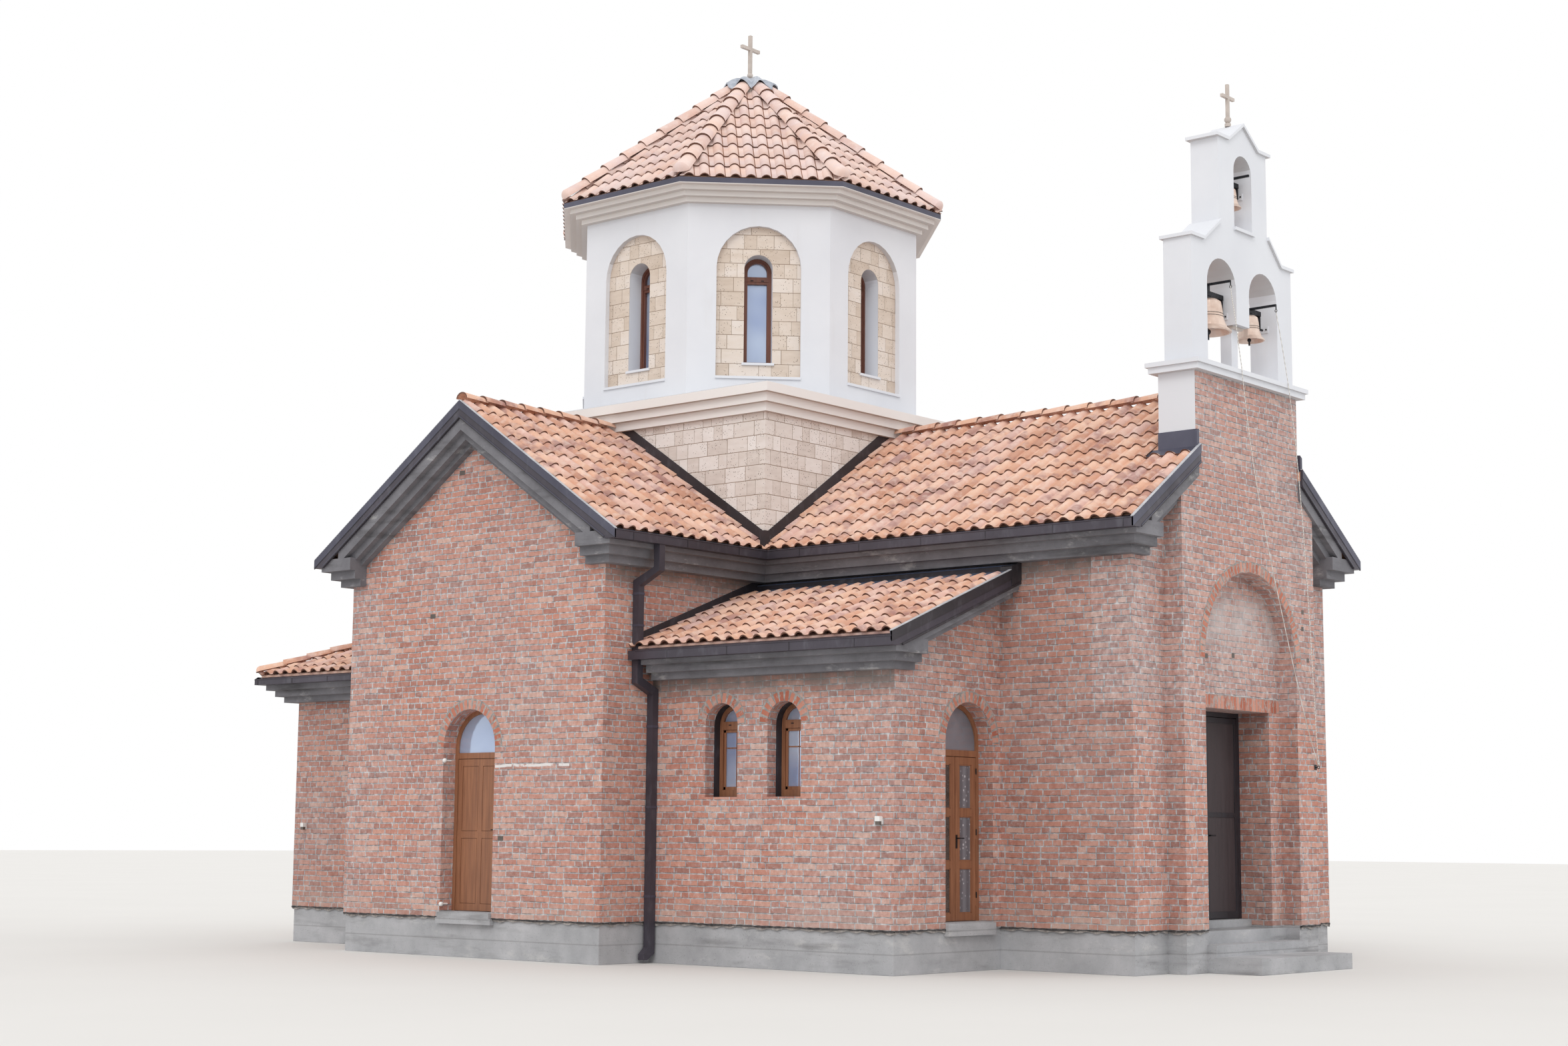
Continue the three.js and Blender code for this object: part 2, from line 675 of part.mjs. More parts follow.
// Everything under the hipped corner roof, down to a depth below its surface
function annexUnder(depth) {
  const x0 = -ANNEX_SIDE - 700;
  const y1 = REAR_REACH + 700;
  const slopeX = prism('y', [
    [x0, 2000],
    [-NAVE_HALF + 200, 2000],
    [-NAVE_HALF + 200, annexLine(NAVE_HALF - 200, ANNEX_SIDE) - depth],
    [x0, annexLine(-x0, ANNEX_SIDE) - depth],
  ], 1900, y1);
  const slopeY = prism('x', [
    [1900, 2000],
    [y1, 2000],
    [y1, annexLine(y1, REAR_REACH) - depth],
    [1900, annexLine(1900, REAR_REACH) - depth],
  ], x0, -NAVE_HALF + 200);
  return wasm.Manifold.intersection([slopeX, slopeY]);
}

function annexCornice() {
  const pieces = [];
  const pipeSide = TRANSEPT_HALF + PIPE_ROOM;
  for (let i = 0; i < 3; i += 1) {
    const low = ANNEX_STEPS[i] + GAP;
    const high = (i === 2 ? ANNEX_STEPS[4] : ANNEX_STEPS[i + 1]) + GAP;
    const out = -ANNEX_SIDE - STEP_OUT[i];
    const back = REAR_REACH + STEP_OUT[i];
    pieces.push(
      block(-ANNEX_SIDE - 5, -ANNEX_SIDE + WALL, TRANSEPT_HALF + GAP, back, low, high),
      block(out, -ANNEX_SIDE + WALL, pipeSide, back, low, high),
      block(out, -NAVE_HALF - GAP, REAR_REACH - WALL, back, low, high),
    );
  }
  return wasm.Manifold.intersection([join(pieces), annexUnder(LOW_SLAB + GAP)]);
}

// Gutters, verge fascias and downpipes of zinc sheet, joined into one body
function channel(x0, x1, y0, y1, low, top) {
  const s = GUTTER_SHEET;
  return {
    shell: block(x0, x1, y0, y1, low, top),
    inner: block(x0 + s, x1 - s, y0 + s, y1 - s, low + s, top + 10),
  };
}

// A square pipe from the main gutter to the ground, through the low gutter's end.
// It hangs on the transept wall, which lies on the given side of the middle.
function downpipe(side, faceX, lowSteps) {
  const near = side * (TRANSEPT_HALF + PIPE_GAP);
  const far = near + side * PIPE;
  const outlet = side * (TRANSEPT_HALF + STEP_OUT[2] + (GUTTER_OUT - STEP_OUT[2]) / 2);
  const outletNear = outlet - side * PIPE / 2;
  const outletFar = outlet + side * PIPE / 2;
  const x0 = -faceX - PIPE_OUT;
  const x1 = x0 + PIPE;
  const neck = prism('x', [
    [outletNear, MAIN_STEPS[3] + 5],
    [outletFar, MAIN_STEPS[3] + 5],
    [outletFar, 4830],
    [far, 4660],
    [near, 4660],
    [near, 4730],
    [outletNear, 4880],
  ], x0, x1);
  const low = lowSteps[3];
  const w1 = -faceX - PIPE_WALL_GAP;
  const w0 = w1 - PIPE;
  const swan = prism('y', [
    [x0, low + 5],
    [x0, low - 290],
    [w0, low - 420],
    [w0, 190],
    [w0 - 90, 110],
    [w0 - 90, 40],
    [w0 - 30, 40],
    [w1, 120],
    [w1, low - 350],
    [x1, low - 220],
    [x1, low + 5],
  ], near, far);
  return join(
    neck,
    block(x0, x1, near, far, low, 4670),
    block(-faceX - GUTTER_OUT, x1, near, far, low, lowSteps[4]),
    swan,
  );
}

function gutters() {
  const shells = [];
  const hollows = [];
  const inside = STEP_OUT[2] + GAP;
  for (const arm of ARMS) {
    const across = arm.axis === 'y' ? TRANSEPT_HALF : NAVE_HALF;
    for (const side of [-1, 1]) {
      const from = across + inside;
      const to = arm.reach + FASCIA_OUT - 5;
      const a = side * (arm.half + inside);
      const b = side * (arm.half + GUTTER_OUT);
      const [s0, s1] = [Math.min(a, b), Math.max(a, b)];
      const [o0, o1] = [Math.min(arm.sign * from, arm.sign * to), Math.max(arm.sign * from, arm.sign * to)];
      const span = arm.axis === 'y' ? [s0, s1, o0, o1] : [o0, o1, s0, s1];
      const piece = channel(...span, MAIN_STEPS[3], MAIN_STEPS[4]);
      shells.push(piece.shell);
      hollows.push(piece.inner);
    }
    const fascia = armPrism(arm, chevron(arm, 0, MAIN_FASCIA, arm.half + GUTTER_OUT),
      arm.reach + RAKE_OUT[2] + GAP, arm.reach + FASCIA_OUT);
    const clips = [armBlock(arm, arm.reach, arm.reach + 900, -4000, 4000, 4000, MAIN_STEPS[3])];
    if (arm === NAVE) {
      const stop = BELFRY_HALF + GAP;
      clips.push(block(-stop, stop, -9000, -8000, 5000, 8000));
    }
    shells.push(cut(fascia, clips));
  }
  const leanGutter = channel(-LEAN_SIDE - GUTTER_OUT, -LEAN_SIDE - inside, -LEAN_FRONT - FASCIA_OUT + 5,
    -TRANSEPT_HALF - PIPE_GAP, LEAN_STEPS[3], LEAN_STEPS[4]);
  const leanFascia = cut(
    prism('y', leanBand(0, LEAN_FASCIA, -LEAN_SIDE - GUTTER_OUT, -NAVE_HALF - GAP),
      -LEAN_FRONT - FASCIA_OUT, -LEAN_FRONT - RAKE_OUT[2] - GAP),
    block(-6000, 0, -7000, -6000, 3000, LEAN_STEPS[3]),
  );
  const annexX = channel(-ANNEX_SIDE - GUTTER_OUT, -ANNEX_SIDE - inside, TRANSEPT_HALF + PIPE_GAP,
    REAR_REACH + GUTTER_OUT, ANNEX_STEPS[3], ANNEX_STEPS[4]);
  const annexY = channel(-ANNEX_SIDE - GUTTER_OUT, -NAVE_HALF, REAR_REACH + inside,
    REAR_REACH + GUTTER_OUT, ANNEX_STEPS[3], ANNEX_STEPS[4]);
  const half = cut(
    join(leanGutter.shell, leanFascia, annexX.shell, annexY.shell),
    leanGutter.inner, annexX.inner, annexY.inner,
  );
  const pipes = join(
    downpipe(-1, LEAN_SIDE, LEAN_STEPS),
    downpipe(1, ANNEX_SIDE, ANNEX_STEPS),
  );
  const low = join(half, pipes);
  return join(cut(join(shells), hollows), low, mirrored(low));
}

// Roofs: tile, batten and board as one slab for each slope pair
function armRoof(arm) {
  const side = arm.half + TILE_OVERHANG;
  const outline = chevron(arm, SLAB_TOP, MAIN_SLAB, side);
  const slab = armPrism(arm, outline, BASE_HALF + GAP, arm.reach + RAKE_OUT[2] - GAP);
  const tools = [-1, 1].map((s) => (
    armBlock(arm, 2000, 9000, s * (arm.half + STEP_OUT[2]), s * (arm.half + 900), 4000, MAIN_STEPS[4] + GAP)
  ));
  const tier = BASE_HALF + BASE_STEP_OUT[0] + GAP;
  tools.push(block(-tier, tier, -tier, tier, BASE_TOP - GAP, 8000));
  if (arm === NAVE) {
    tools.push(block(-BELFRY_HALF - GAP, BELFRY_HALF + GAP, -9000, BELFRY_BACK + GAP, 5000, 8000));
  }
  return cut(slab, tools);
}

function leanRoof() {
  const edge = -LEAN_SIDE - TILE_OVERHANG;
  const slab = prism('y', leanBand(SLAB_TOP, LOW_SLAB, edge, -NAVE_HALF - GAP),
    -LEAN_FRONT - RAKE_OUT[2] + GAP, -TRANSEPT_HALF - GAP);
  return cut(
    slab,
    block(-6000, -LEAN_SIDE - STEP_OUT[2], -7000, -2000, 3000, LEAN_STEPS[4] + GAP),
    block(-6000, -LEAN_SIDE - PIPE_NOTCH, -TRANSEPT_HALF - PIPE_ROOM, -2000, 3000, 5000),
  );
}

function annexRoof() {
  const x0 = -ANNEX_SIDE - TILE_OVERHANG;
  const y1 = REAR_REACH + TILE_OVERHANG;
  const bounds = block(x0, -NAVE_HALF - GAP, TRANSEPT_HALF + GAP, y1, 3000, 6000);
  const shell = cut(annexUnder(SLAB_TOP), annexUnder(LOW_SLAB));
  const notch = ANNEX_STEPS[4] + GAP;
  return cut(
    wasm.Manifold.intersection([shell, bounds]),
    block(-6000, -ANNEX_SIDE - STEP_OUT[2], 2000, 7000, 3000, notch),
    block(-6000, 0, REAR_REACH + STEP_OUT[2], 7000, 3000, notch),
    block(-6000, -ANNEX_SIDE - PIPE_NOTCH, 2000, TRANSEPT_HALF + PIPE_ROOM, 3000, 5000),
  );
}

// Stone base under the drum
function stoneBase() {
  const ring = cut(
    block(-BASE_HALF, BASE_HALF, -BASE_HALF, BASE_HALF, BASE_LOW, BASE_TOP + 10),
    block(-BASE_INNER, BASE_INNER, -BASE_INNER, BASE_INNER, 5000, 8000),
  );
  const tiers = BASE_STEP_OUT.map((out, i) => {
    const half = BASE_HALF + out;
    return block(-half, half, -half, half, BASE_STEPS[i], BASE_STEPS[i + 1] + (i < 2 ? 1 : 0));
  });
  const top = BASE_HALF + BASE_STEP_OUT[2];
  const foot = DRUM_APOTHEM + 10;
  const rise = SKIRT_TOP - BASE_STEPS[3];
  const skirt = new THREE.CylinderGeometry(foot * Math.SQRT2, top * Math.SQRT2, rise, 4);
  skirt.rotateY(Math.PI / 4);
  skirt.rotateX(Math.PI / 2);
  skirt.translate(0, 0, (SKIRT_TOP + BASE_STEPS[3]) / 2);
  const crown = cut(join(tiers, solidFrom(skirt)), octagon(DRUM_INNER, 7000, 8000));
  return cut(join(ring, crown), octagon(DRUM_APOTHEM + GAP, BASE_STEPS[3], 8000));
}

function drumWall() {
  const shell = cut(
    octagon(DRUM_APOTHEM, BASE_STEPS[3] + GAP, DRUM_TOP),
    octagon(DRUM_INNER, 7000, 11000),
  );
  const outside = -DRUM_APOTHEM - 50;
  const nicheShape = archShape(0, NICHE_HALF, NICHE_LOW, NICHE_SPRING);
  const niche = prism('y', nicheShape, outside, -DRUM_APOTHEM + NICHE_DEPTH);
  const lightShape = archShape(0, DRUM_WINDOW_HALF, DRUM_WINDOW_SILL, NICHE_SPRING);
  const light = prism('y', lightShape, outside, -DRUM_INNER + 100);
  const tools = [];
  for (let i = 0; i < 8; i += 1) {
    tools.push(niche.rotate([0, 0, i * 45]), light.rotate([0, 0, i * 45]));
  }
  return cut(shell, tools);
}

function drumGlass() {
  const outer = octagon(DRUM_INNER - GAP, DRUM_WINDOW_SILL - 100, NICHE_SPRING + DRUM_WINDOW_HALF + 100);
  return cut(outer, octagon(DRUM_INNER - 12, 7000, 11000));
}

function drumCornice() {
  const [low, second, third, top] = DRUM_STEPS;
  const [out0, out1, out2] = DRUM_STEP_OUT.map((out) => DRUM_APOTHEM + out);
  return lathed([
    [DRUM_INNER, low + GAP],
    [out0, low + GAP],
    [out0, second],
    [out1, second],
    [out1, third],
    [out2, third],
    [out2, top],
    [DRUM_INNER, top],
    [DRUM_INNER, low + GAP],
  ], 8);
}

function drumGutter() {
  const inner = DRUM_APOTHEM + DRUM_STEP_OUT[2] + GAP;
  const outer = DRUM_APOTHEM + DOME_EAVE_OUT;
  const low = DRUM_STEPS[3] - 5;
  const s = GUTTER_SHEET;
  return lathed([
    [inner, low],
    [outer, low],
    [outer, DOME_EAVE_TOP],
    [outer - s, DOME_EAVE_TOP],
    [outer - s, low + s],
    [inner + s, low + s],
    [inner + s, DOME_EAVE_TOP - 15],
    [inner, DOME_EAVE_TOP - 15],
    [inner, low],
  ], 8);
}

function domeLine(distance) {
  const slope = (DOME_APEX - DOME_EAVE_TOP) / (DRUM_APOTHEM + DOME_EAVE_OUT);
  return DOME_APEX - SLAB_TOP - slope * distance;
}

function drumRoof() {
  const edge = DRUM_APOTHEM + DOME_EAVE_OUT - 60;
  const foot = DRUM_APOTHEM + DRUM_STEP_OUT[2];
  const low = DRUM_STEPS[3] + GAP;
  return lathed([
    [0, domeLine(0) - DOME_SLAB],
    [foot - 120, low],
    [foot, low],
    [foot, DOME_EAVE_TOP + GAP],
    [edge, DOME_EAVE_TOP + GAP],
    [edge, domeLine(edge)],
    [0, domeLine(0)],
  ], 8);
}

// A latin cross over a ball, in the plane of the entrance front
function crossOver({ x, y, foot, ballTop, top, armHeight, armHalf, bar }) {
  const ball = new THREE.SphereGeometry(CROSS_BALL, 12, 8);
  ball.rotateX(Math.PI / 2);
  ball.translate(x, y, ballTop - CROSS_BALL);
  return join(
    solidFrom(ball),
    rod('z', [x, y], CROSS_BALL / 2, foot, ballTop - 20),
    block(x - bar, x + bar, y - bar, y + bar, ballTop - 12, top),
    block(x - armHalf, x + armHalf, y - bar, y + bar, armHeight - bar, armHeight + bar),
  );
}

function domeCross() {
  const { reach, rim, neck, top } = HOOD;
  const hood = lathed([
    [0, domeLine(0) + GAP],
    [reach, domeLine(reach) + GAP],
    [reach, domeLine(reach) + rim],
    [neck, top],
    [0, top],
  ], 8);
  const cross = crossOver({
    x: 0, y: 0, foot: DOME_APEX, ballTop: 13090, top: CROSS_TOP, armHeight: 13460, armHalf: 200, bar: 24,
  });
  return join(hood, cross);
}

// Bell gable
function bellLedge() {
  const [low, middle, top] = LEDGE_STEPS;
  const tier = (out, from, to) => block(
    -BELFRY_HALF - out, BELFRY_HALF + out, PORCH_FACE - out, BELFRY_BACK + out, from, to,
  );
  return join(tier(LEDGE_OUT[0], low, middle + 1), tier(LEDGE_OUT[1], middle, top));
}

function shoulderCap(side) {
  const { outer, low, inner, high } = SHOULDER;
  const wall = TOP_CENTRE + side * inner;
  return prism('y', [
    [side * (BELL_WALL_HALF + CAP_OUT), low],
    [side * outer, low],
    [wall, high],
    [wall - side * 5, high + CAP_THICK],
    [side * outer, low + CAP_THICK],
    [side * (BELL_WALL_HALF + CAP_OUT), low + CAP_THICK],
  ], BELL_WALL_FRONT - CAP_OUT, BELL_WALL_BACK + CAP_OUT);
}

function bellGable() {
  const { outer, low, inner, high } = SHOULDER;
  const base = LEDGE_STEPS[2] + GAP;
  const edge = (side) => [
    [side * BELL_WALL_HALF, base],
    [side * BELL_WALL_HALF, low],
    [side * outer, low],
    [TOP_CENTRE + side * inner, high],
    [TOP_CENTRE + side * inner, CROWN_LOW],
    [TOP_CENTRE + side * CROWN_HALF, CROWN_LOW],
  ];
  const outline = [...edge(1), [TOP_CENTRE, CROWN_PEAK], ...edge(-1).reverse()];
  const wall = prism('y', outline, BELL_WALL_FRONT, BELL_WALL_BACK);
  const eave = inner + CROWN_OUT;
  const crownOutline = [
    [eave, CROWN_LOW],
    [eave, CROWN_LOW + CAP_THICK],
    [CROWN_HALF, CROWN_LOW + CAP_THICK],
    [0, CROWN_PEAK + CAP_THICK],
    [-CROWN_HALF, CROWN_LOW + CAP_THICK],
    [-eave, CROWN_LOW + CAP_THICK],
    [-eave, CROWN_LOW],
    [-CROWN_HALF, CROWN_LOW],
    [0, CROWN_PEAK],
    [CROWN_HALF, CROWN_LOW],
  ].map(([x, z]) => [TOP_CENTRE + x, z]);
  const crownCap = prism('y', crownOutline, BELL_WALL_FRONT - CAP_OUT, BELL_WALL_BACK + CAP_OUT);
  const front = BELL_WALL_FRONT - 10;
  const back = BELL_WALL_BACK + 10;
  const openings = BELL_ARCHES.map((x) => (
    prism('y', archShape(x, BELL_ARCH_HALF, base - 20, BELL_ARCH_SPRING), front, back)
  ));
  openings.push(
    block(BELL_ARCHES[0], BELL_ARCHES[1], front, back, base - 20, IMPOST),
    prism('y', archShape(TOP_CENTRE, TOP_ARCH_HALF, TOP_ARCH_SILL, TOP_ARCH_SPRING), front, back),
  );
  const column = block(
    -COLUMN_HALF, COLUMN_HALF, BELL_Y - COLUMN_HALF, BELL_Y + COLUMN_HALF, base, IMPOST + 5,
  );
  const sillHalf = TOP_ARCH_HALF + 20;
  const sill = block(
    TOP_CENTRE - sillHalf, TOP_CENTRE + sillHalf,
    BELL_WALL_FRONT - CAP_OUT, BELL_WALL_FRONT + BITE,
    TOP_ARCH_SILL - CAP_THICK, TOP_ARCH_SILL,
  );
  const plates = BELLS.flatMap((bell) => [-1, 1].map((side) => pivotPlate(bell, side)));
  return join(cut(wall, openings), column, sill, crownCap, shoulderCap(-1), shoulderCap(1), plates);
}

// A plate on the jamb with a bore for the yoke's pin
function pivotPlate(bell, side) {
  const face = bell.x + side * bell.opening;
  const reach = bell.x + side * (bell.opening - PLATE_THICK);
  const plate = block(face + side * 5, reach, BELL_Y - 80, BELL_Y + 80, bell.pivot - 42, bell.pivot + 42);
  const bore = PIN_RADIUS + PIN_PLAY;
  return cut(plate, rod('x', [BELL_Y, bell.pivot], bore, reach - side * 20, face + side * 20));
}

function bellBody(bell) {
  const r = bell.radius;
  const h = bell.crown - bell.rim;
  const bore = 10;
  const profile = [
    [bore, h],
    [0.42 * r, h],
    [0.56 * r, 0.93 * h],
    [0.62 * r, 0.72 * h],
    [0.67 * r, 0.4 * h],
    [0.8 * r, 0.16 * h],
    [r, 0.03 * h],
    [0.985 * r, 0],
    [0.9 * r, 0],
    [0.72 * r, 0.15 * h],
    [0.58 * r, 0.4 * h],
    [0.53 * r, 0.7 * h],
    [0.46 * r, 0.86 * h],
    [bore, 0.9 * h],
    [bore, h],
  ].map(([x, z]) => [x, bell.rim + z]).reverse();
  return lathed(profile, 20, bell.x, BELL_Y);
}

function yoke(bell) {
  const { x, arm, pivot, crown, rim, radius, beam, lever, tip } = bell;
  const armOut = arm + ARM_THICK;
  const top = beam + 60;
  const pieces = [
    block(x - armOut, x + armOut, BELL_Y - 38, BELL_Y + 38, beam, top),
    block(x - 40, x + 40, BELL_Y - 30, BELL_Y + 30, crown + GAP, beam + 10),
    block(x - 30, x + 30, BELL_Y - 22, BELL_Y + 22, top - 10, lever + LEVER_HALF - 6),
    block(x - LEVER_HALF, x + LEVER_HALF, tip, BELL_Y + 60, lever - LEVER_HALF, lever + LEVER_HALF),
    rod('z', [x, BELL_Y], 8, rim + 10, crown + 30),
  ];
  for (const side of [-1, 1]) {
    pieces.push(
      block(x + side * arm, x + side * armOut, BELL_Y - 30, BELL_Y + 30, pivot - 30, top - 5),
      rod('x', [BELL_Y, pivot], PIN_RADIUS, x + side * (armOut - 2), x + side * (bell.opening - 3)),
    );
  }
  const knob = new THREE.SphereGeometry(0.13 * radius, 10, 8);
  knob.rotateX(Math.PI / 2);
  knob.translate(x, BELL_Y, rim + 10);
  pieces.push(solidFrom(knob), rod('z', [x, BELL_Y], 0.06 * radius, rim - 0.3 * radius, rim + 10));
  return join(pieces);
}

function rope(route) {
  const path = new THREE.CatmullRomCurve3(route.map((p) => new THREE.Vector3(...p)));
  const section = new THREE.Shape();
  section.absarc(0, 0, ROPE_RADIUS, 0, 2 * Math.PI, false);
  const geometry = new THREE.ExtrudeGeometry(section, {
    steps: 40,
    curveSegments: 4,
    extrudePath: path,
    bevelEnabled: false,
  });
  return solidFrom(geometry);
}

function ropeEye() {
  const face = PORCH_FACE - GAP;
  const ring = new THREE.TorusGeometry(17, 5, 6, 14);
  ring.rotateY(Math.PI / 2);
  ring.translate(EYE.x, PORCH_FACE - EYE.out, EYE.z);
  return join(
    block(EYE.x - 30, EYE.x + 30, face - 6, face, EYE.z - 30, EYE.z + 30),
    rod('y', [EYE.x, EYE.z], 6, face - 3, PORCH_FACE - EYE.out + 19),
    solidFrom(ring),
  );
}

function gableCross() {
  const foot = CROWN_PEAK + CAP_THICK;
  const y = (BELL_WALL_FRONT + BELL_WALL_BACK) / 2;
  const seat = rod('z', [TOP_CENTRE, y], 40, foot + GAP, foot + 40);
  const cross = crossOver({
    x: TOP_CENTRE, y, foot: foot + 20, ballTop: 10810, top: 11235, armHeight: 11062, armHalf: 150, bar: 20,
  });
  return join(seat, cross);
}

// Doors: frames stand in the reveals, leaves hang on upright hinges

// Hinge knuckles beside a leaf's corner at (x, y), on the side that sx and sy give
function knuckles(x, y, sx, sy, low, high) {
  const axisX = x + sx * LEAF_CLEAR / 2;
  const axisY = y + sy * LEAF_CLEAR / 2;
  const levels = [low + 180, (low + high) / 2, high - 180 - KNUCKLE_LENGTH];
  return levels.flatMap((z) => [
    rod('z', [axisX, axisY], KNUCKLE_RADIUS, z, z + KNUCKLE_LENGTH, 8),
    block(axisX, x - sx * 3, axisY, y - sy * 3, z + 1, z + KNUCKLE_LENGTH - 1),
  ]);
}

function frontDoorFrame() {
  const outer = FRONT_DOOR_HALF - GAP;
  const inner = FRONT_DOOR_HALF - 60;
  const y1 = FRONT_WALL_BACK - 2;
  const low = THRESHOLD_TOP + GAP;
  const head = FRONT_DOOR_HEAD - GAP;
  const leafFace = FRONT_DOOR_FACE + 5;
  return join(
    block(-outer, -inner, FRONT_DOOR_FACE, y1, low, head),
    block(inner, outer, FRONT_DOOR_FACE, y1, low, head),
    block(-outer, outer, FRONT_DOOR_FACE, y1, head - 60, head),
    block(-inner - 5, -2, leafFace, leafFace + 50, low + 4, head - 55),
  );
}

function frontDoorLeaf() {
  const leafFace = FRONT_DOOR_FACE + 5;
  const low = THRESHOLD_TOP + LEAF_CLEAR;
  const high = FRONT_DOOR_HEAD - 60 - LEAF_CLEAR;
  const edge = FRONT_DOOR_HALF - 60 - LEAF_CLEAR;
  const leaf = block(6, edge, leafFace, leafFace + 50, low, high);
  return join(leaf, knuckles(edge, leafFace + 50, 1, 1, low, high));
}

// Built about the doorway's middle, its outer face at y = 0 and inside at +y
function archedFrame(door) {
  const outer = door.half - GAP;
  const inner = door.half - FRAME_WIDTH;
  const low = FLOOR_TOP + GAP;
  const ring = cut(
    prism('y', archShape(0, outer, low, door.spring), 0, FRAME_DEPTH),
    prism('y', archShape(0, inner, low - 10, door.spring), -10, FRAME_DEPTH + 10),
  );
  return join(
    ring,
    block(-inner - 5, inner + 5, 0, FRAME_DEPTH, TRANSOM_LOW + LEAF_CLEAR, TRANSOM_TOP),
    prism('y', archShape(0, inner + 5, TRANSOM_TOP - 10, door.spring), 25, 37),
  );
}

// A leaf between two sides with one column of sunk panels for each entry of rows
function panelledLeaf(x0, x1, columns, rows) {
  const low = FLOOR_TOP + LEAF_CLEAR;
  const high = TRANSOM_LOW;
  const stile = 85;
  const rail = 90;
  const panelWidth = (x1 - x0 - (columns + 1) * stile) / columns;
  const panelHeight = (high - low - (rows + 1) * rail) / rows;
  const panels = [];
  for (let c = 0; c < columns; c += 1) {
    for (let r = 0; r < rows; r += 1) {
      const x = x0 + stile + c * (panelWidth + stile);
      const z = low + rail + r * (panelHeight + rail);
      panels.push(
        block(x, x + panelWidth, -10, 14, z, z + panelHeight),
        block(x, x + panelWidth, LEAF_THICK - 14, LEAF_THICK + 10, z, z + panelHeight),
      );
    }
  }
  return cut(block(x0, x1, 0, LEAF_THICK, low, high), panels);
}

function singleLeaf(door) {
  const half = door.half - FRAME_WIDTH - LEAF_CLEAR;
  return panelledLeaf(-half, half, 2, 2);
}

function hungSingleLeaf(door) {
  const half = door.half - FRAME_WIDTH - LEAF_CLEAR;
  return join(singleLeaf(door), knuckles(-half, LEAF_THICK, -1, 1, FLOOR_TOP, TRANSOM_LOW));
}

// One leaf of a pair: side -1 or +1
function pairLeaf(door, side) {
  const half = door.half - FRAME_WIDTH - LEAF_CLEAR;
  const edges = [side * PAIR_CLEAR, side * half];
  return panelledLeaf(Math.min(...edges), Math.max(...edges), 1, 3);
}

function hungPairLeaf(door, side) {
  const half = door.half - FRAME_WIDTH - LEAF_CLEAR;
  return join(pairLeaf(door, side), knuckles(side * half, 0, side, -1, FLOOR_TOP, TRANSOM_LOW));
}

function placed(solid, quarterTurns, x, y) {
  return solid.rotate([0, 0, quarterTurns * 90]).translate([x, y, 0]);
}

function windowFrame(centre) {
  const outer = WINDOW_HALF - GAP;
  const inner = WINDOW_HALF - WINDOW_FRAME;
  const low = WINDOW_SILL + GAP;
  const ring = cut(
    prism('x', archShape(centre, outer, low, WINDOW_SPRING), 0, FRAME_DEPTH),
    prism('x', archShape(centre, inner, low + WINDOW_RAIL, WINDOW_SPRING), -10, FRAME_DEPTH + 10),
  );
  const pane = prism('x', archShape(centre, inner + 5, low + WINDOW_RAIL - 10, WINDOW_SPRING), 30, 42);
  const transom = block(0, FRAME_DEPTH, centre - inner - 5, centre + inner + 5, ...WINDOW_TRANSOM);
  return join(ring, pane, transom).translate([-LEAN_SIDE + WINDOW_DEPTH, 0, 0]);
}

// A door that stays shut: its leaves are joined to the frame
function fixedDoor(door, leaves) {
  const half = door.half - FRAME_WIDTH;
  const filler = block(-half - 5, half + 5, 17, 35, FLOOR_TOP + 6, TRANSOM_LOW + 10);
  return join(archedFrame(door), leaves.map((leaf) => leaf.translate([0, 5, 0])), filler);
}

// Assembly
add('foundation', foundation(), CONCRETE);
add('entrance_steps', entranceSteps(), CONCRETE);
add('nave_wall_left', join(naveWall(), leanJamb(-NAVE_HALF + 10)), BRICK);
add('nave_wall_right', mirrored(naveWall()), BRICK);
add('front_wall_top', frontWallTop(), BRICK);
add('transept_left_wall_front', transeptSide(-1, GAP), BRICK);
add('transept_left_wall_rear', transeptSide(1, GAP), BRICK);
add('transept_left_wall_top', transeptTop(GAP), BRICK);
add('transept_right_wall', transeptRightWall(), BRICK);
add('rear_walls', rearWalls(), BRICK);
add('lean_left_wall_side', leanSide(), BRICK);
add('lean_left_wall_top', leanTop(GAP), BRICK);
add('lean_right_wall', leanRightWall(), BRICK);

add('main_cornice_left', mainCorniceLeft(), CONCRETE);
add('main_cornice_right', mirrored(mainCorniceLeft()), CONCRETE);
add('lean_left_cornice', leanCornice(), CONCRETE);
add('lean_right_cornice', mirrored(leanCornice()), CONCRETE);
add('annex_left_cornice', annexCornice(), CONCRETE);
add('annex_right_cornice', mirrored(annexCornice()), CONCRETE);
add('gutters', gutters(), ANTHRACITE);

add('roof_nave', armRoof(NAVE), TILE);
add('roof_rear', armRoof(REAR), TILE);
add('roof_transept_left', armRoof(LEFT), TILE);
add('roof_transept_right', armRoof(RIGHT), TILE);
add('roof_lean_left', leanRoof(), TILE);
add('roof_lean_right', mirrored(leanRoof()), TILE);
add('roof_annex_left', annexRoof(), TILE);
add('roof_annex_right', mirrored(annexRoof()), TILE);

add('stone_base', stoneBase(), TRAVERTINE);
add('drum_wall', drumWall(), RENDER);
add('drum_glass', drumGlass(), GLASS);
add('drum_cornice', drumCornice(), RENDER);
add('drum_gutter', drumGutter(), ANTHRACITE);
add('drum_roof', drumRoof(), TILE);
add('dome_cross', domeCross(), CROSS_STONE);

add('bell_ledge', bellLedge(), RENDER);
add('bell_gable', bellGable(), RENDER);
add('gable_cross', gableCross(), CROSS_STONE);
for (const bell of BELLS) {
  add(`bell_${bell.name}`, bellBody(bell), BRONZE);
  add(`yoke_${bell.name}`, yoke(bell), IRON);
}
add('rope_left', rope(ROPE_ROUTES.left), ROPE);
add('rope_right', rope(ROPE_ROUTES.right), ROPE);
add('rope_eye', ropeEye(), IRON);

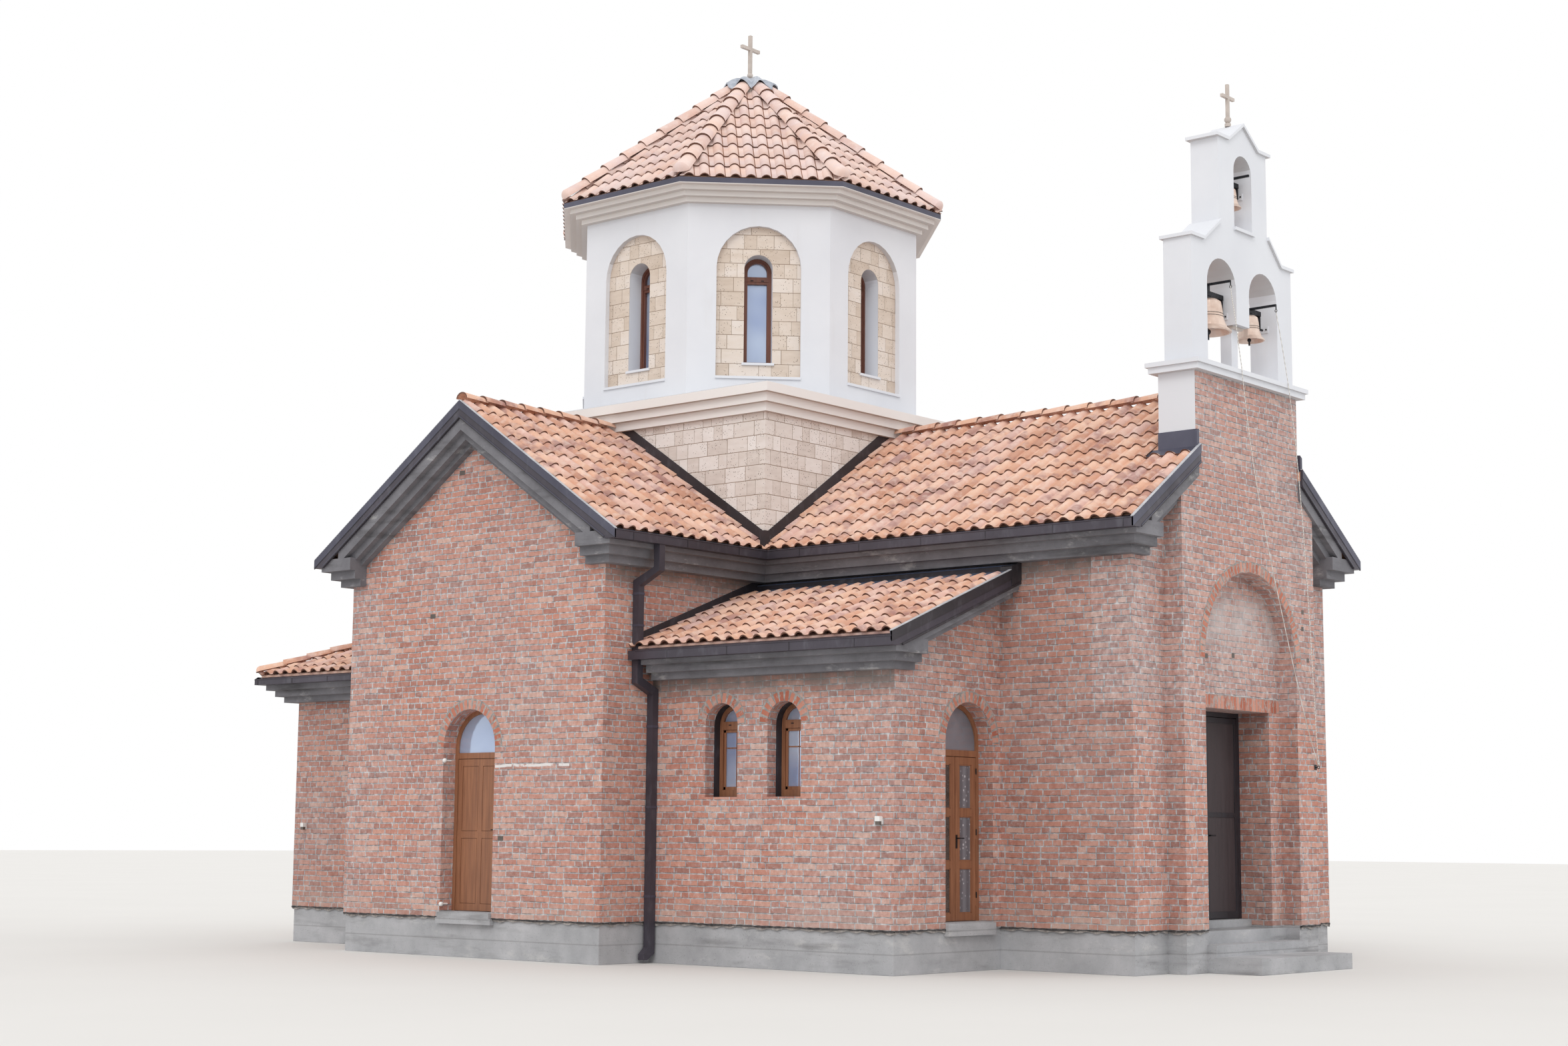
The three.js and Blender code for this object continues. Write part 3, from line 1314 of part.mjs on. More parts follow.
add('front_door_frame', frontDoorFrame(), DARK_TIMBER);
add('front_door_leaf', frontDoorLeaf(), DARK_TIMBER);
const transeptFace = TRANSEPT_REACH - DOOR_DEPTH;
const leanFace = -LEAN_FRONT + DOOR_DEPTH;
add('transept_door_frame', placed(archedFrame(TRANSEPT_DOOR), -1, -transeptFace, 0), TIMBER);
add('transept_door_leaf', placed(hungSingleLeaf(TRANSEPT_DOOR), -1, -transeptFace + 5, 0), TIMBER);
add('lean_door_frame', placed(archedFrame(LEAN_DOOR), 0, -LEAN_DOOR.centre, leanFace), TIMBER);
add('lean_door_leaf_left', placed(hungPairLeaf(LEAN_DOOR, -1), 0, -LEAN_DOOR.centre, leanFace + 5), TIMBER);
add('lean_door_leaf_right', placed(hungPairLeaf(LEAN_DOOR, 1), 0, -LEAN_DOOR.centre, leanFace + 5), TIMBER);
const rightDoor = fixedDoor(TRANSEPT_DOOR, [singleLeaf(TRANSEPT_DOOR)]);
add('transept_right_door', placed(rightDoor, 1, transeptFace, 0), TIMBER);
const leanLeaves = [pairLeaf(LEAN_DOOR, -1), pairLeaf(LEAN_DOOR, 1)];
add('lean_right_door', placed(fixedDoor(LEAN_DOOR, leanLeaves), 0, LEAN_DOOR.centre, leanFace), TIMBER);

WINDOW_CENTRES.forEach((centre, index) => {
  add(`window_left_${index + 1}`, windowFrame(centre), TIMBER);
  add(`window_right_${index + 1}`, mirrored(windowFrame(centre)), TIMBER);
});

export default church;
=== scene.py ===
"""Looks of a small brick church: tiles, bricks, stone, sheet metal, glazing and ropes.

Metres, in the frame of the CAD part: +Z up, the entrance faces -Y.
"""

import math

import bmesh
import bpy
from mathutils import Matrix, Vector


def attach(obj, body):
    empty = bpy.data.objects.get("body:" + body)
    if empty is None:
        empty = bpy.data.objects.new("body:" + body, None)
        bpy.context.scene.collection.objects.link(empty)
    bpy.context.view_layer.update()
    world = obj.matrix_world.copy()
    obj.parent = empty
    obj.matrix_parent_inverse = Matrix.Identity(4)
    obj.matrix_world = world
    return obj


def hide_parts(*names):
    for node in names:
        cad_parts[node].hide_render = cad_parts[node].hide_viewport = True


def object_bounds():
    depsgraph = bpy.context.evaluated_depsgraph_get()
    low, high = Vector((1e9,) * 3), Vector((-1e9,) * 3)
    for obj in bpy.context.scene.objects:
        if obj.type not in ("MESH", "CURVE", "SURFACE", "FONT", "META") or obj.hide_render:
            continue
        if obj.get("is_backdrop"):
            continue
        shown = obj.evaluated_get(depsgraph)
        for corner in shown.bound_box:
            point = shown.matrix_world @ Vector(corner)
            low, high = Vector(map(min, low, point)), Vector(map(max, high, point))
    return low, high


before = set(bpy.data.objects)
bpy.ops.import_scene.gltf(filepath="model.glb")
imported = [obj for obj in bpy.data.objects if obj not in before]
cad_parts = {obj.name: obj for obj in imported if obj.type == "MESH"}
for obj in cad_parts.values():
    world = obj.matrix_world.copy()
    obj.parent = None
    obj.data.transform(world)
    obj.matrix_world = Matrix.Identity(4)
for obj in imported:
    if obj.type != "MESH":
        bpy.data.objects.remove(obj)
cad_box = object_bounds()

# Dimensions shared with the CAD part
NAVE_HALF = 2.375
NAVE_REACH = 8.15
REAR_REACH = 5.1
TRANSEPT_HALF = 2.42
TRANSEPT_REACH = 5.36
TRANSEPT_DOOR_HALF = 0.49
TRANSEPT_DOOR_SPRING = 2.677
RIDGE = 7.186
EAVE_TOP = 5.273
GUTTER_LOW = 5.162
GUTTER_OUT = 0.465
SLAB_TOP = 0.02
FASCIA_OUT = 0.322
RAKE_OUT = 0.29
LEAN_SIDE = 4.48
LEAN_FRONT = 6.26
LEAN_RISE = 4.874
LEAN_SLOPE = 0.3835
LEAN_GUTTER_LOW = 3.73
LEAN_EAVE_TOP = 3.84
LEAN_DOOR_X = 3.014
LEAN_DOOR_HALF = 0.48
LEAN_DOOR_SPRING = 2.7
DOOR_FRAME = 0.055
FANLIGHT_LOW = 2.614
FRAME_INSET = 0.21
LEAF_INSET = 0.215
LEAF_GAP = 0.007
WINDOW_CENTRES = (-3.588, -4.594)
WINDOW_HALF = 0.263
WINDOW_SPRING = 2.915
WINDOW_INSET = 0.26
ANNEX_SIDE = 4.13
ANNEX_RISE = 3.85
ANNEX_SLOPE = 0.406
ANNEX_GUTTER_LOW = 3.715
ANNEX_EAVE_TOP = 3.798
BASE_HALF = 2.785
BASE_TOP = 7.143
SKIRT_LOW = 7.504
DRUM_APOTHEM = 2.415
NICHE_DEPTH = 0.08
DRUM_GUTTER_OUT = 0.345
DRUM_GUTTER_LOW = 10.565
DOME_EAVE_TOP = 10.649
DOME_APEX = 12.968
PORCH_FACE = -8.4
PORCH_HALF = 1.64
RECESS_HALF = 1.14
RECESS_SPRING = 3.738
RECESS_BACK = -8.15
BELFRY_HALF = 1.275
BELFRY_BACK = -7.88
FRONT_LEAF_FACE = -7.71
BELL_Y = -8.156
FLOOR_TOP = 0.575
PLINTH_TOP = 0.5
COURSE = 0.075

RIGHT = Vector((1, 0, 0))
FORWARD = Vector((0, -1, 0))
BACK = Vector((0, 1, 0))
UP = Vector((0, 0, 1))


def linear(code):
    """The scene colour of a six-digit hex code."""
    parts = [int(code[i:i + 2], 16) / 255 for i in (0, 2, 4)]
    return tuple(p / 12.92 if p <= 0.04045 else ((p + 0.055) / 1.055) ** 2.4 for p in parts) + (1.0,)


def add_object(name, data):
    """A new object in the scene."""
    made = bpy.data.objects.new(name, data)
    bpy.context.scene.collection.objects.link(made)
    return made


# Camera at the photograph's viewpoint: azimuth, elevation and roll in degrees, focal length in pixels
CAMERA_PLACE = (-26.011, -22.890, 1.556)
CAMERA_ANGLES = (-49.600, 7.600, 0.4697)
FOCAL_LENGTH = 3529.33
PHOTO_WIDTH = 2350
SENSOR_WIDTH = 36.0


def photo_camera():
    azimuth, elevation, roll = (math.radians(a) for a in CAMERA_ANGLES)
    forward = Vector((
        -math.sin(azimuth) * math.cos(elevation),
        math.cos(azimuth) * math.cos(elevation),
        math.sin(elevation),
    ))
    level = Vector((math.cos(azimuth), math.sin(azimuth), 0.0))
    upright = level.cross(forward)
    right = level * math.cos(roll) + upright * math.sin(roll)
    top = upright * math.cos(roll) - level * math.sin(roll)
    data = bpy.data.cameras.new("photo_camera")
    data.sensor_fit = "HORIZONTAL"
    data.sensor_width = SENSOR_WIDTH
    data.lens = SENSOR_WIDTH * FOCAL_LENGTH / PHOTO_WIDTH
    data.clip_start = 0.1
    data.clip_end = 500.0
    camera = add_object("photo_camera", data)
    matrix = Matrix((right, top, -forward)).transposed().to_4x4()
    matrix.translation = CAMERA_PLACE
    camera.matrix_world = matrix
    bpy.context.scene.camera = camera


photo_camera()
bpy.context.scene.view_settings.view_transform = "Standard"


# Node graphs
class Value:
    """A number that nodes work out; a sum, product or comparison of values adds a node."""

    def __init__(self, graph, socket):
        self.graph = graph
        self.socket = socket

    def __add__(self, other):
        return self.graph.math("ADD", self, other)

    def __sub__(self, other):
        return self.graph.math("SUBTRACT", self, other)

    def __rsub__(self, other):
        return self.graph.math("SUBTRACT", other, self)

    def __mul__(self, other):
        return self.graph.math("MULTIPLY", self, other)

    def __gt__(self, limit):
        return self.graph.math("GREATER_THAN", self, limit)

    def __lt__(self, limit):
        return self.graph.math("GREATER_THAN", limit, self)

    def __abs__(self):
        return self.graph.math("ABSOLUTE", self)

    def parts(self):
        """The whole number below the value, and what is left over it."""
        return self.graph.math("FLOOR", self), self.graph.math("FRACT", self)


class Graph:
    """The nodes of one procedural material."""

    def __init__(self, name):
        self.material = bpy.data.materials.new(name)
        self.material.use_nodes = True
        self.tree = self.material.node_tree
        self.shader = self.tree.nodes["Principled BSDF"]
        place = self.node("TexCoord").outputs
        self.place = place["Object"]
        self.x, self.y, self.z = self.split(self.place)
        self.nx, self.ny, self.nz = self.split(place["Normal"])

    def feed(self, socket, value):
        if isinstance(value, Value):
            value = value.socket
        if isinstance(value, bpy.types.NodeSocket):
            self.tree.links.new(value, socket)
        else:
            socket.default_value = value

    def node(self, kind, inputs=None, **settings):
        """A new node with its settings and the values of its inputs."""
        made = self.tree.nodes.new("ShaderNode" + kind)
        for key, value in settings.items():
            setattr(made, key, value)
        for key, value in (inputs or {}).items():
            self.feed(made.inputs[key], value)
        return made

    def split(self, vector):
        return [Value(self, socket) for socket in self.node("SeparateXYZ", {0: vector}).outputs]

    def math(self, operation, first, second=0.0):
        return Value(self, self.node("Math", {0: first, 1: second}, operation=operation).outputs[0])

    def least(self, first, second):
        return self.math("MINIMUM", first, second)

    def most(self, first, second):
        return self.math("MAXIMUM", first, second)

    def near_end(self, share):
        """How far a share between 0 and 1 is from the nearer end."""
        return self.least(share, 1.0 - share)

    def choose(self, factor, first, second):
        """first where factor is 0, second where it is 1."""
        return factor * (second - first) + first

    def smooth(self, value, low, high, out_low=0.0, out_high=1.0):
        inputs = dict(enumerate((value, low, high, out_low, out_high)))
        return Value(self, self.node("MapRange", inputs, interpolation_type="SMOOTHSTEP").outputs[0])

    def spread(self, noise, low, high):
        """A value from low to high that follows the noise."""
        return self.smooth(noise, 0.3, 0.7, low, high)

    def noise(self, scale, detail=3.0, stretch=None, rough=0.55):
        place = self.place
        if stretch:
            place = self.node("Mapping", {"Scale": stretch, "Vector": place}).outputs[0]
        inputs = {"Vector": place, "Scale": scale, "Detail": detail, "Roughness": rough}
        return Value(self, self.node("TexNoise", inputs).outputs[0])

    def cells(self, scale):
        made = self.node("TexVoronoi", {"Vector": self.place, "Scale": scale})
        return Value(self, made.outputs["Distance"])

    def random(self, x, y=0.0, z=0.0):
        vector = self.node("CombineXYZ", {0: x, 1: y, 2: z}).outputs[0]
        return Value(self, self.node("TexWhiteNoise", {"Vector": vector}).outputs["Value"])

    def island(self):
        """A number of its own for each loose block or tile."""
        return Value(self, self.node("NewGeometry").outputs["Random Per Island"])

    def ramp(self, value, *stops):
        made = self.node("ValToRGB", {0: value})
        elements = made.color_ramp.elements
        while len(elements) < len(stops):
            elements.new(0.5)
        for element, (position, code) in zip(elements, stops):
            element.position = position
            element.color = linear(code)
        return made.outputs[0]

    def clouds(self, noise, dark, pale):
        return self.ramp(noise, (0.3, dark), (0.7, pale))

    def mix(self, factor, first, second, blend="MIX"):
        first, second = (linear(c) if isinstance(c, str) else c for c in (first, second))
        inputs = {0: factor, 6: first, 7: second}
        return self.node("Mix", inputs, data_type="RGBA", blend_type=blend, clamp_factor=True).outputs[2]

    def bump(self, height, distance, strength):
        inputs = {"Distance": distance, "Strength": strength, "Height": height}
        self.feed(self.shader.inputs["Normal"], self.node("Bump", inputs).outputs[0])

    def finish(self, colour, roughness, metallic=0.0):
        for name, value in (("Base Color", colour), ("Roughness", roughness), ("Metallic", metallic)):
            self.feed(self.shader.inputs[name], value)
        return self.material


BRICK_LONG = 0.26
BRICK_TONES = (
    (0.0, "7a4436"), (0.16, "9f5c44"), (0.36, "ba6d50"), (0.6, "c67c5f"), (0.82, "cf8f76"), (1.0, "d9b09d"),
)
BASE_TONES = ((0.2, "cbc1ba"), (0.45, "dbd3cd"), (0.65, "e3ddd9"), (0.9, "eae6e3"))
NICHE_TONES = ((0.2, "c6b5a5"), (0.45, "d3c4b6"), (0.65, "dccfc3"), (0.9, "e2d8d0"))
TILE_TONES = (
    (0.05, "b07f6c"), (0.22, "cc957a"), (0.42, "dba88c"), (0.62, "e6bba2"), (0.8, "ddb3a4"), (1.0, "c3a19c"),
)


def brick_bond(g):
    """Colour, brick mask, grain and painted bed shadow of stretchers, some of them cut in two."""
    flat = abs(g.nz) > 0.7
    side = abs(g.nx) > 0.6
    run = g.choose(flat, g.choose(side, g.x, g.y), g.y)
    level = g.choose(flat, g.z, g.x)
    level = level + ((g.noise(1.7, 2.0) - 0.5) * 0.028 + (g.noise(38.0) - 0.5) * 0.008)
    run = run + (g.noise(31.0) - 0.5) * 0.012
    row, up = ((level - PLINTH_TOP) * (1 / COURSE)).parts()
    unit, along = ((run + g.random(row, 3.1) * BRICK_LONG) * (1 / BRICK_LONG)).parts()
    halved = g.random(unit, row, 5.0) > 0.7
    within = g.choose(halved, along, g.math("FRACT", along * 2.0))
    width = g.choose(halved, BRICK_LONG, BRICK_LONG / 2)
    edge = g.least(g.near_end(within) * width, g.near_end(up) * COURSE)
    face = g.smooth(edge + (g.noise(7.0, 4.0) - 0.5) * 0.014, 0.0062, 0.0092)
    own = g.random(unit * 2.0 + halved * (along > 0.5), row, 9.0)
    colour = g.ramp(own * 0.75 + g.noise(0.9, 2.0) * 0.3, *BRICK_TONES)
    grain = g.noise(70.0, 4.0)
    colour = g.mix(g.smooth(grain, 0.4, 0.75, 0.0, 0.3), colour, "a8685a", "MULTIPLY")
    # painted shadow in the joint just under each brick's lower edge
    under = g.smooth(up, 0.15, 0.06) * g.smooth(g.noise(9.0), 0.4, 0.6)
    return colour, face, grain, under


def brick_wall(name, eave_band_axis=None, eave=0.0, dusty=0.0, shaded=0.0):
    """Bricks with grey smeared mortar; walls that face the given axis are darker and greyer in a band under
    the eaves.
    """
    g = Graph(name)
    colour, face, grain, under = brick_bond(g)
    smear = g.smooth(g.noise(13.0, 6.0, rough=0.8), 0.52, 0.6, 0.0, 0.5)
    film = g.smooth(g.noise(0.55), 0.35, 0.7, 0.2 + dusty, 0.4 + dusty)
    mortar = g.ramp(g.noise(17.0, 4.0), (0.3, "8b8b8f"), (0.5, "b2b1b3"), (0.7, "d3d3d4"))
    colour = g.mix(g.most(smear, film), colour, mortar)
    colour = g.mix(face, mortar, colour)
    # the painted bed shadow darkens the joint under each brick
    colour = g.mix(under * 0.8, colour, "57504e")
    if eave_band_axis:
        facing = abs(g.nx if eave_band_axis == "x" else g.ny) > 0.5
        # a darker, greyer band over the top 0.34 m of the walls under the eaves
        eave_band = g.smooth(g.z, eave - 0.34, eave - 0.05) * g.smooth(g.noise(4.0, 4.0), 0.25, 0.6, 0.35, 1.0)
        colour = g.mix(eave_band * facing * 0.85, colour, "77706c")
        # painted shade: walls that face the axis are darkened all over by the shaded share
        colour = g.mix(facing * shaded, colour, "5f4640")
    damp = g.smooth(g.z, 0.95, 0.5) * g.spread(g.noise(3.0), 0.0, 1.0)
    colour = g.mix(damp * 0.35, colour, "b9b3ac")
    return g, colour, face, face * 0.7 + grain * 0.3


def plain_brick_wall(name, eave_band_axis=None, eave=0.0, shaded=0.0, limed=False):
    """Brick with, where limed, a pale line of lime beside the transept's door."""
    g, colour, face, height = brick_wall(name, eave_band_axis, eave, shaded=shaded)
    if limed:
        off_line = abs(g.z + g.noise(3.0) * 0.05 - 2.455)
        line = g.smooth(off_line, 0.022, 0.012) * (g.y > -1.85) * ((g.y < -0.5) * (g.x < -5.3))
        colour = g.mix(line * g.smooth(g.noise(7.0), 0.35, 0.5), colour, "dedad8")
    g.bump(height, 0.006, 0.7)
    return g.finish(colour, g.choose(face, 0.95, 0.82))


def front_brick_wall():
    """Brick with lime bloom over the door, and white render on the belfry's sides and back."""
    g, colour, face, height = brick_wall("brick_front", dusty=0.14)
    recessed = (g.y > RECESS_BACK - 0.03) * (abs(g.x) < 1.15)
    over_door = g.smooth(g.z, 3.75, 4.1) * g.smooth(g.z, 4.75, 4.45)
    bloom = recessed * over_door * g.smooth(g.noise(2.6, 4.0), 0.35, 0.6, 0.05, 0.5)
    colour = g.mix(bloom, colour, "cbc6c5")
    rendered = (g.z > 6.0) * (g.y > PORCH_FACE + 0.004)
    colour = g.mix(rendered, colour, "d9dadf")
    g.bump(height * (1.0 - rendered), 0.006, 0.7)
    return g.finish(colour, g.choose(face, 0.95, 0.82))


def loose_brick():
    """Single bricks of arches and soldier courses, each its own tone."""
    g = Graph("brick_single")
    tone = g.island() * 0.8 + g.noise(3.0) * 0.2
    colour = g.ramp(tone, (0.0, "a05c49"), (0.3, "b46c57"), (0.6, "c07f6b"), (1.0, "cb9888"))
    smear = g.smooth(g.noise(11.0, 6.0, rough=0.7), 0.48, 0.62, 0.0, 0.75)
    g.bump(g.noise(70.0, 4.0), 0.003, 0.6)
    return g.finish(g.mix(smear, colour, "aaa4a0"), 0.9)


def mortar_bed():
    g = Graph("mortar")
    colour = g.ramp(g.noise(18.0, 5.0), (0.3, "7f7a77"), (0.55, "a09a96"), (0.75, "bdb8b4"))
    g.bump(g.noise(60.0, 5.0), 0.004, 0.8)
    return g.finish(colour, 0.95)


def concrete(name, pale, dark, boards=0.0, streaks=0.5):
    """Raw concrete: clouds, level streaks, lime, specks and faint board marks."""
    g = Graph(name)
    clouds = g.noise(1.6, 6.0, rough=0.65)
    colour = g.clouds(clouds, dark, pale)
    runs = g.smooth(g.noise(2.2, 5.0, (0.3, 0.3, 2.2), 0.6), 0.5, 0.75, 0.0, streaks)
    colour = g.mix(runs, colour, "8a8884", "MULTIPLY")
    lime = g.smooth(g.noise(3.0, 6.0, (0.6, 0.6, 1.4), 0.7), 0.56, 0.7, 0.0, 0.4)
    colour = g.mix(lime, colour, "c9c8c6")
    colour = g.mix(g.smooth(g.noise(60.0), 0.62, 0.7, 0.0, 0.4), colour, "5a5856")
    height = g.noise(24.0, 5.0)
    if boards:
        seam = g.math("FRACT", (g.z + 0.02) * (1 / boards))
        line = g.smooth(g.near_end(seam), 0.01, 0.05)
        colour = g.mix((1.0 - line) * 0.35, colour, "6f6e6c")
        height = height + line * 0.4
    g.bump(height, 0.003, 0.6)
    return g.finish(colour, g.spread(clouds, 0.82, 0.95))


def sheet_metal(name="sheet_metal", pale="5c5c6c", dark="434250", metallic=0.35):
    """Coated zinc sheet, slightly buckled and dusty."""
    g = Graph(name)
    colour = g.clouds(g.noise(0.8, 4.0), dark, pale)
    colour = g.mix(g.smooth(g.noise(9.0, 6.0, (1, 1, 0.4)), 0.5, 0.8, 0.0, 0.2), colour, "85868f")
    g.bump(g.noise(1.3, 1.0) + g.noise(90.0, 2.0) * 0.03, 0.012, 0.3)
    return g.finish(colour, g.spread(g.noise(2.5, 4.0), 0.38, 0.55), metallic)


def drum_gutter_metal():
    """Dark sheet on the face of the drum's gutter, cream paint under it."""
    g = Graph("drum_gutter_metal")
    face = g.z > DRUM_GUTTER_LOW + 0.012
    colour = g.mix(face, "cfc9c5", g.clouds(g.noise(0.8, 4.0), "434250", "5c5c6c"))
    g.bump(g.noise(2.0, 2.0), 0.004, 0.3)
    return g.finish(colour, g.spread(g.noise(2.5, 4.0), 0.4, 0.6), face * 0.3)


def roof_tile(name, flame, pale_share=0.0):
    """Clay tiles, salmon to orange, flamed with brown and lilac; given a pale share, they are paler in
    patches.
    """
    g = Graph(name)
    colour = g.ramp(g.island() * 0.75 + g.noise(0.7) * 0.3, *TILE_TONES)
    colour = g.mix(g.smooth(g.noise(3.1), 0.5, 0.66, 0.0, 0.62), colour, flame)
    colour = g.mix(g.smooth(g.noise(9.0, 5.0), 0.45, 0.7, 0.05, 0.45), colour, "efdace")
    if pale_share:
        colour = g.mix(g.spread(g.noise(1.9), pale_share - 0.12, pale_share + 0.12), colour, "eadbd8")
    g.bump(g.noise(55.0, 4.0), 0.003, 0.5)
    return g.finish(colour, g.spread(g.noise(6.0, 4.0), 0.5, 0.72))


def tile_edge(name, dark, pale):
    """The cut edges of tiles and the seams at the foot of each roll, brown and darkened with painted shade.
    """
    g = Graph(name)
    return g.finish(g.clouds(g.noise(5.0, 4.0), dark, pale), g.spread(g.noise(20.0), 0.8, 0.95))


def stone_blocks(g, run, level, height, width, tones):
    """Colour, joint mask and pits of travertine in blocks of the given size."""
    row, up = (level * (1 / height)).parts()
    unit, along = ((run + g.random(row, 7.3) * width) * (1 / width)).parts()
    halved = g.random(unit, row, 2.0) > 0.45
    second = along > 0.58
    cut = g.choose(second, along * (1 / 0.58), (along - 0.58) * (1 / 0.42))
    within = g.choose(halved, along, cut)
    own = g.choose(halved, unit, unit + second * 0.37)
    joint = g.smooth(g.least(g.near_end(within) * width, g.near_end(up) * height), 0.0025, 0.0055)
    tone = g.random(own, row, 4.0) * 0.5 + g.noise(4.0, 6.0, (1, 1, 3.0)) * 0.65
    pits = g.smooth(g.cells(34.0), 0.14, 0.24, 1.0, 0.0) * g.smooth(g.noise(6.0), 0.43, 0.52)
    colour = g.mix(pits * 0.85, g.ramp(tone, *tones), "5f4f40")
    return g.mix(joint, "93806f", colour), joint, pits


def base_stone():
    """The stone base, its rendered steps with painted shade under them and its pale sheet-metal skirt."""
    g = Graph("travertine_base")
    run = g.choose(abs(g.nx) > 0.6, g.x, g.y)
    colour, joint, pits = stone_blocks(g, run, g.z - 0.043, 0.2, 0.36, BASE_TONES)
    stepped = g.z > BASE_TOP - 0.002
    # painted shade: the steps' faces that point down are darker
    colour = g.mix(stepped, colour, g.mix(g.nz < -0.5, "e7e4e2", "bab2ac"))
    skirt = g.z > SKIRT_LOW + 0.002
    metal = g.clouds(g.noise(0.8, 4.0), "cfd2d8", "dfe1e5")
    hem = g.smooth(g.z, SKIRT_LOW + 0.022, SKIRT_LOW + 0.014)
    colour = g.mix(skirt, colour, g.mix(hem, metal, "7d7f87"))
    carved = joint * 0.6 + g.noise(30.0, 4.0) * 0.3 - pits * 0.6
    g.bump(carved * (1.0 - stepped), 0.005, 0.8)
    return g.finish(colour, g.choose(skirt, 0.85, 0.5), skirt * 0.2)


def white_render(name="white_render", niches=False, dark="d8dae0", pale="e1e3e8"):
    """Fine white render, with painted shade on faces that point down; the niches of the drum have travertine
    backs.
    """
    g = Graph(name)
    colour = g.clouds(g.noise(0.7, 5.0), dark, pale)
    colour = g.mix(g.smooth(g.noise(2.5, 5.0, (1.6, 1.6, 0.25)), 0.6, 0.8, 0.0, 0.12), colour, "c4beb8")
    # painted shade: faces that point down are greyer
    colour = g.mix((g.nz < -0.5) * 0.45, colour, "a29d99")
    grain = g.noise(150.0)
    if niches:
        ax = abs(g.x)
        ay = abs(g.y)
        slant = (ax + ay) * math.sqrt(0.5)
        apothem = g.most(slant, g.most(ax, ay))
        diagonal = slant + 0.0005 > apothem
        upright = g.choose(ax > ay, g.x, g.y)
        run = g.choose(diagonal, upright, (ax - ay) * math.sqrt(0.5))
        stone, joint, pits = stone_blocks(g, run, g.z - 0.11, 0.205, 0.42, NICHE_TONES)
        back = DRUM_APOTHEM - NICHE_DEPTH
        niche = (apothem < back + 0.004) * (apothem > back - 0.004)
        colour = g.mix(niche, colour, stone)
        grain = grain + niche * (joint * 3.0 - pits * 3.0)
    g.bump(grain, 0.0015, 0.5)
    return g.finish(colour, g.spread(g.noise(3.0), 0.82, 0.92))


def timber(name, pale, dark, gloss=0.42):
    """Stained wood with an upright grain."""
    g = Graph(name)
    grain = g.noise(26.0, 5.0, (1, 1, 0.06))
    fade = g.smooth(g.noise(1.8), 0.4, 0.75, 0.0, 0.25)
    g.bump(grain, 0.0015, 0.5)
    return g.finish(g.mix(fade, g.clouds(grain, dark, pale), pale), g.spread(grain, gloss, gloss + 0.15))


def glass(name="glass", dark="9babce", pale="c8d6ea"):
    """Panes that mirror a pale sky; their blue-grey base colour is a painted reflection of it, over a real
    gloss.
    """
    g = Graph(name)
    g.bump(g.noise(2.0, 1.0), 0.004, 0.25)
    g.shader.inputs["Specular IOR Level"].default_value = 0.9
    # painted reflection: the base colour carries the sky's pale blue-grey
    colour = g.ramp(g.noise(0.9, 2.0), (0.35, dark), (0.65, pale))
    return g.finish(colour, g.smooth(g.noise(12.0, 4.0), 0.4, 0.7, 0.06, 0.14), 0.4)


def lace():
    """Grey lace behind glass: rows of small round motifs on a mesh, with painted shade of its folds."""
    g = Graph("lace_curtain")
    across = g.x + g.y
    motif = g.smooth(g.cells(17.0), 0.18, 0.34)
    mesh = g.smooth(g.math("SINE", across * 420.0), -0.3, 0.6, 0.25, 0.8)
    # painted shade: the curtain's folds as light and dark upright bands
    folds = g.smooth(g.math("SINE", across * 46.0), -1.0, 1.0, 0.35, 1.0)
    value = g.most(1.0 - motif, mesh * 0.55) * folds
    colour = g.ramp(value, (0.05, "55555c"), (0.45, "8d8c93"), (1.0, "c9c8cd"))
    g.bump(value, 0.001, 0.4)
    g.shader.inputs["Coat Weight"].default_value = 0.8
    g.shader.inputs["Coat Roughness"].default_value = 0.08
    return g.finish(colour, g.smooth(value, 0.0, 1.0, 0.5, 0.7))


def bronze():
    """Pale pinkish bell bronze, duller in places."""
    g = Graph("bronze")
    tarnish = g.smooth(g.noise(12.0, 5.0, (1, 1, 0.3)), 0.6, 0.8, 0.0, 0.4)
    colour = g.mix(tarnish, g.clouds(g.noise(5.0, 5.0), "cbb0a0", "ead7ca"), "8a7062")
    g.bump(g.noise(60.0), 0.001, 0.4)
    return g.finish(colour, g.spread(g.noise(9.0, 4.0), 0.4, 0.55), 0.45)


def iron():
    """Black iron with specks of rust."""
    g = Graph("iron")
    rust = g.smooth(g.noise(34.0, 5.0), 0.6, 0.76, 0.0, 0.45)
    colour = g.mix(rust, g.clouds(g.noise(20.0, 5.0), "17181b", "2f3036"), "5a3626")
    g.bump(g.noise(120.0, 4.0), 0.001, 0.5)
    return g.finish(colour, g.spread(g.noise(18.0), 0.4, 0.6), 0.6)


def rope_fibre():
    """Pale rope; the slanting dark dots between its strands are painted shade."""
    g = Graph("rope")
    strand = g.smooth(g.math("SINE", g.z * 210.0 + (g.x + g.y) * 380.0), -0.4, 0.5)
    g.bump(strand, 0.002, 0.8)
    return g.finish(g.mix(strand, "c2beb8", "e8e5e0"), g.spread(g.noise(60.0), 0.8, 0.95))


def painted(name, pale, dark, rough=0.6):
    """A painted or moulded surface with faint clouds and specks."""
    g = Graph(name)
    g.bump(g.noise(90.0), 0.001, 0.4)
    colour = g.clouds(g.noise(7.0, 5.0), dark, pale)
    return g.finish(colour, g.spread(g.noise(14.0), rough - 0.1, rough + 0.1))


def bitumen():
    """Dark damp-course felt with a torn, dusty face."""
    g = Graph("bitumen")
    g.bump(g.noise(45.0, 5.0), 0.004, 0.8)
    return g.finish(g.ramp(g.noise(14.0, 6.0), (0.35, "2b2a2b"), (0.6, "454243"), (0.78, "8a8683")), 0.85)


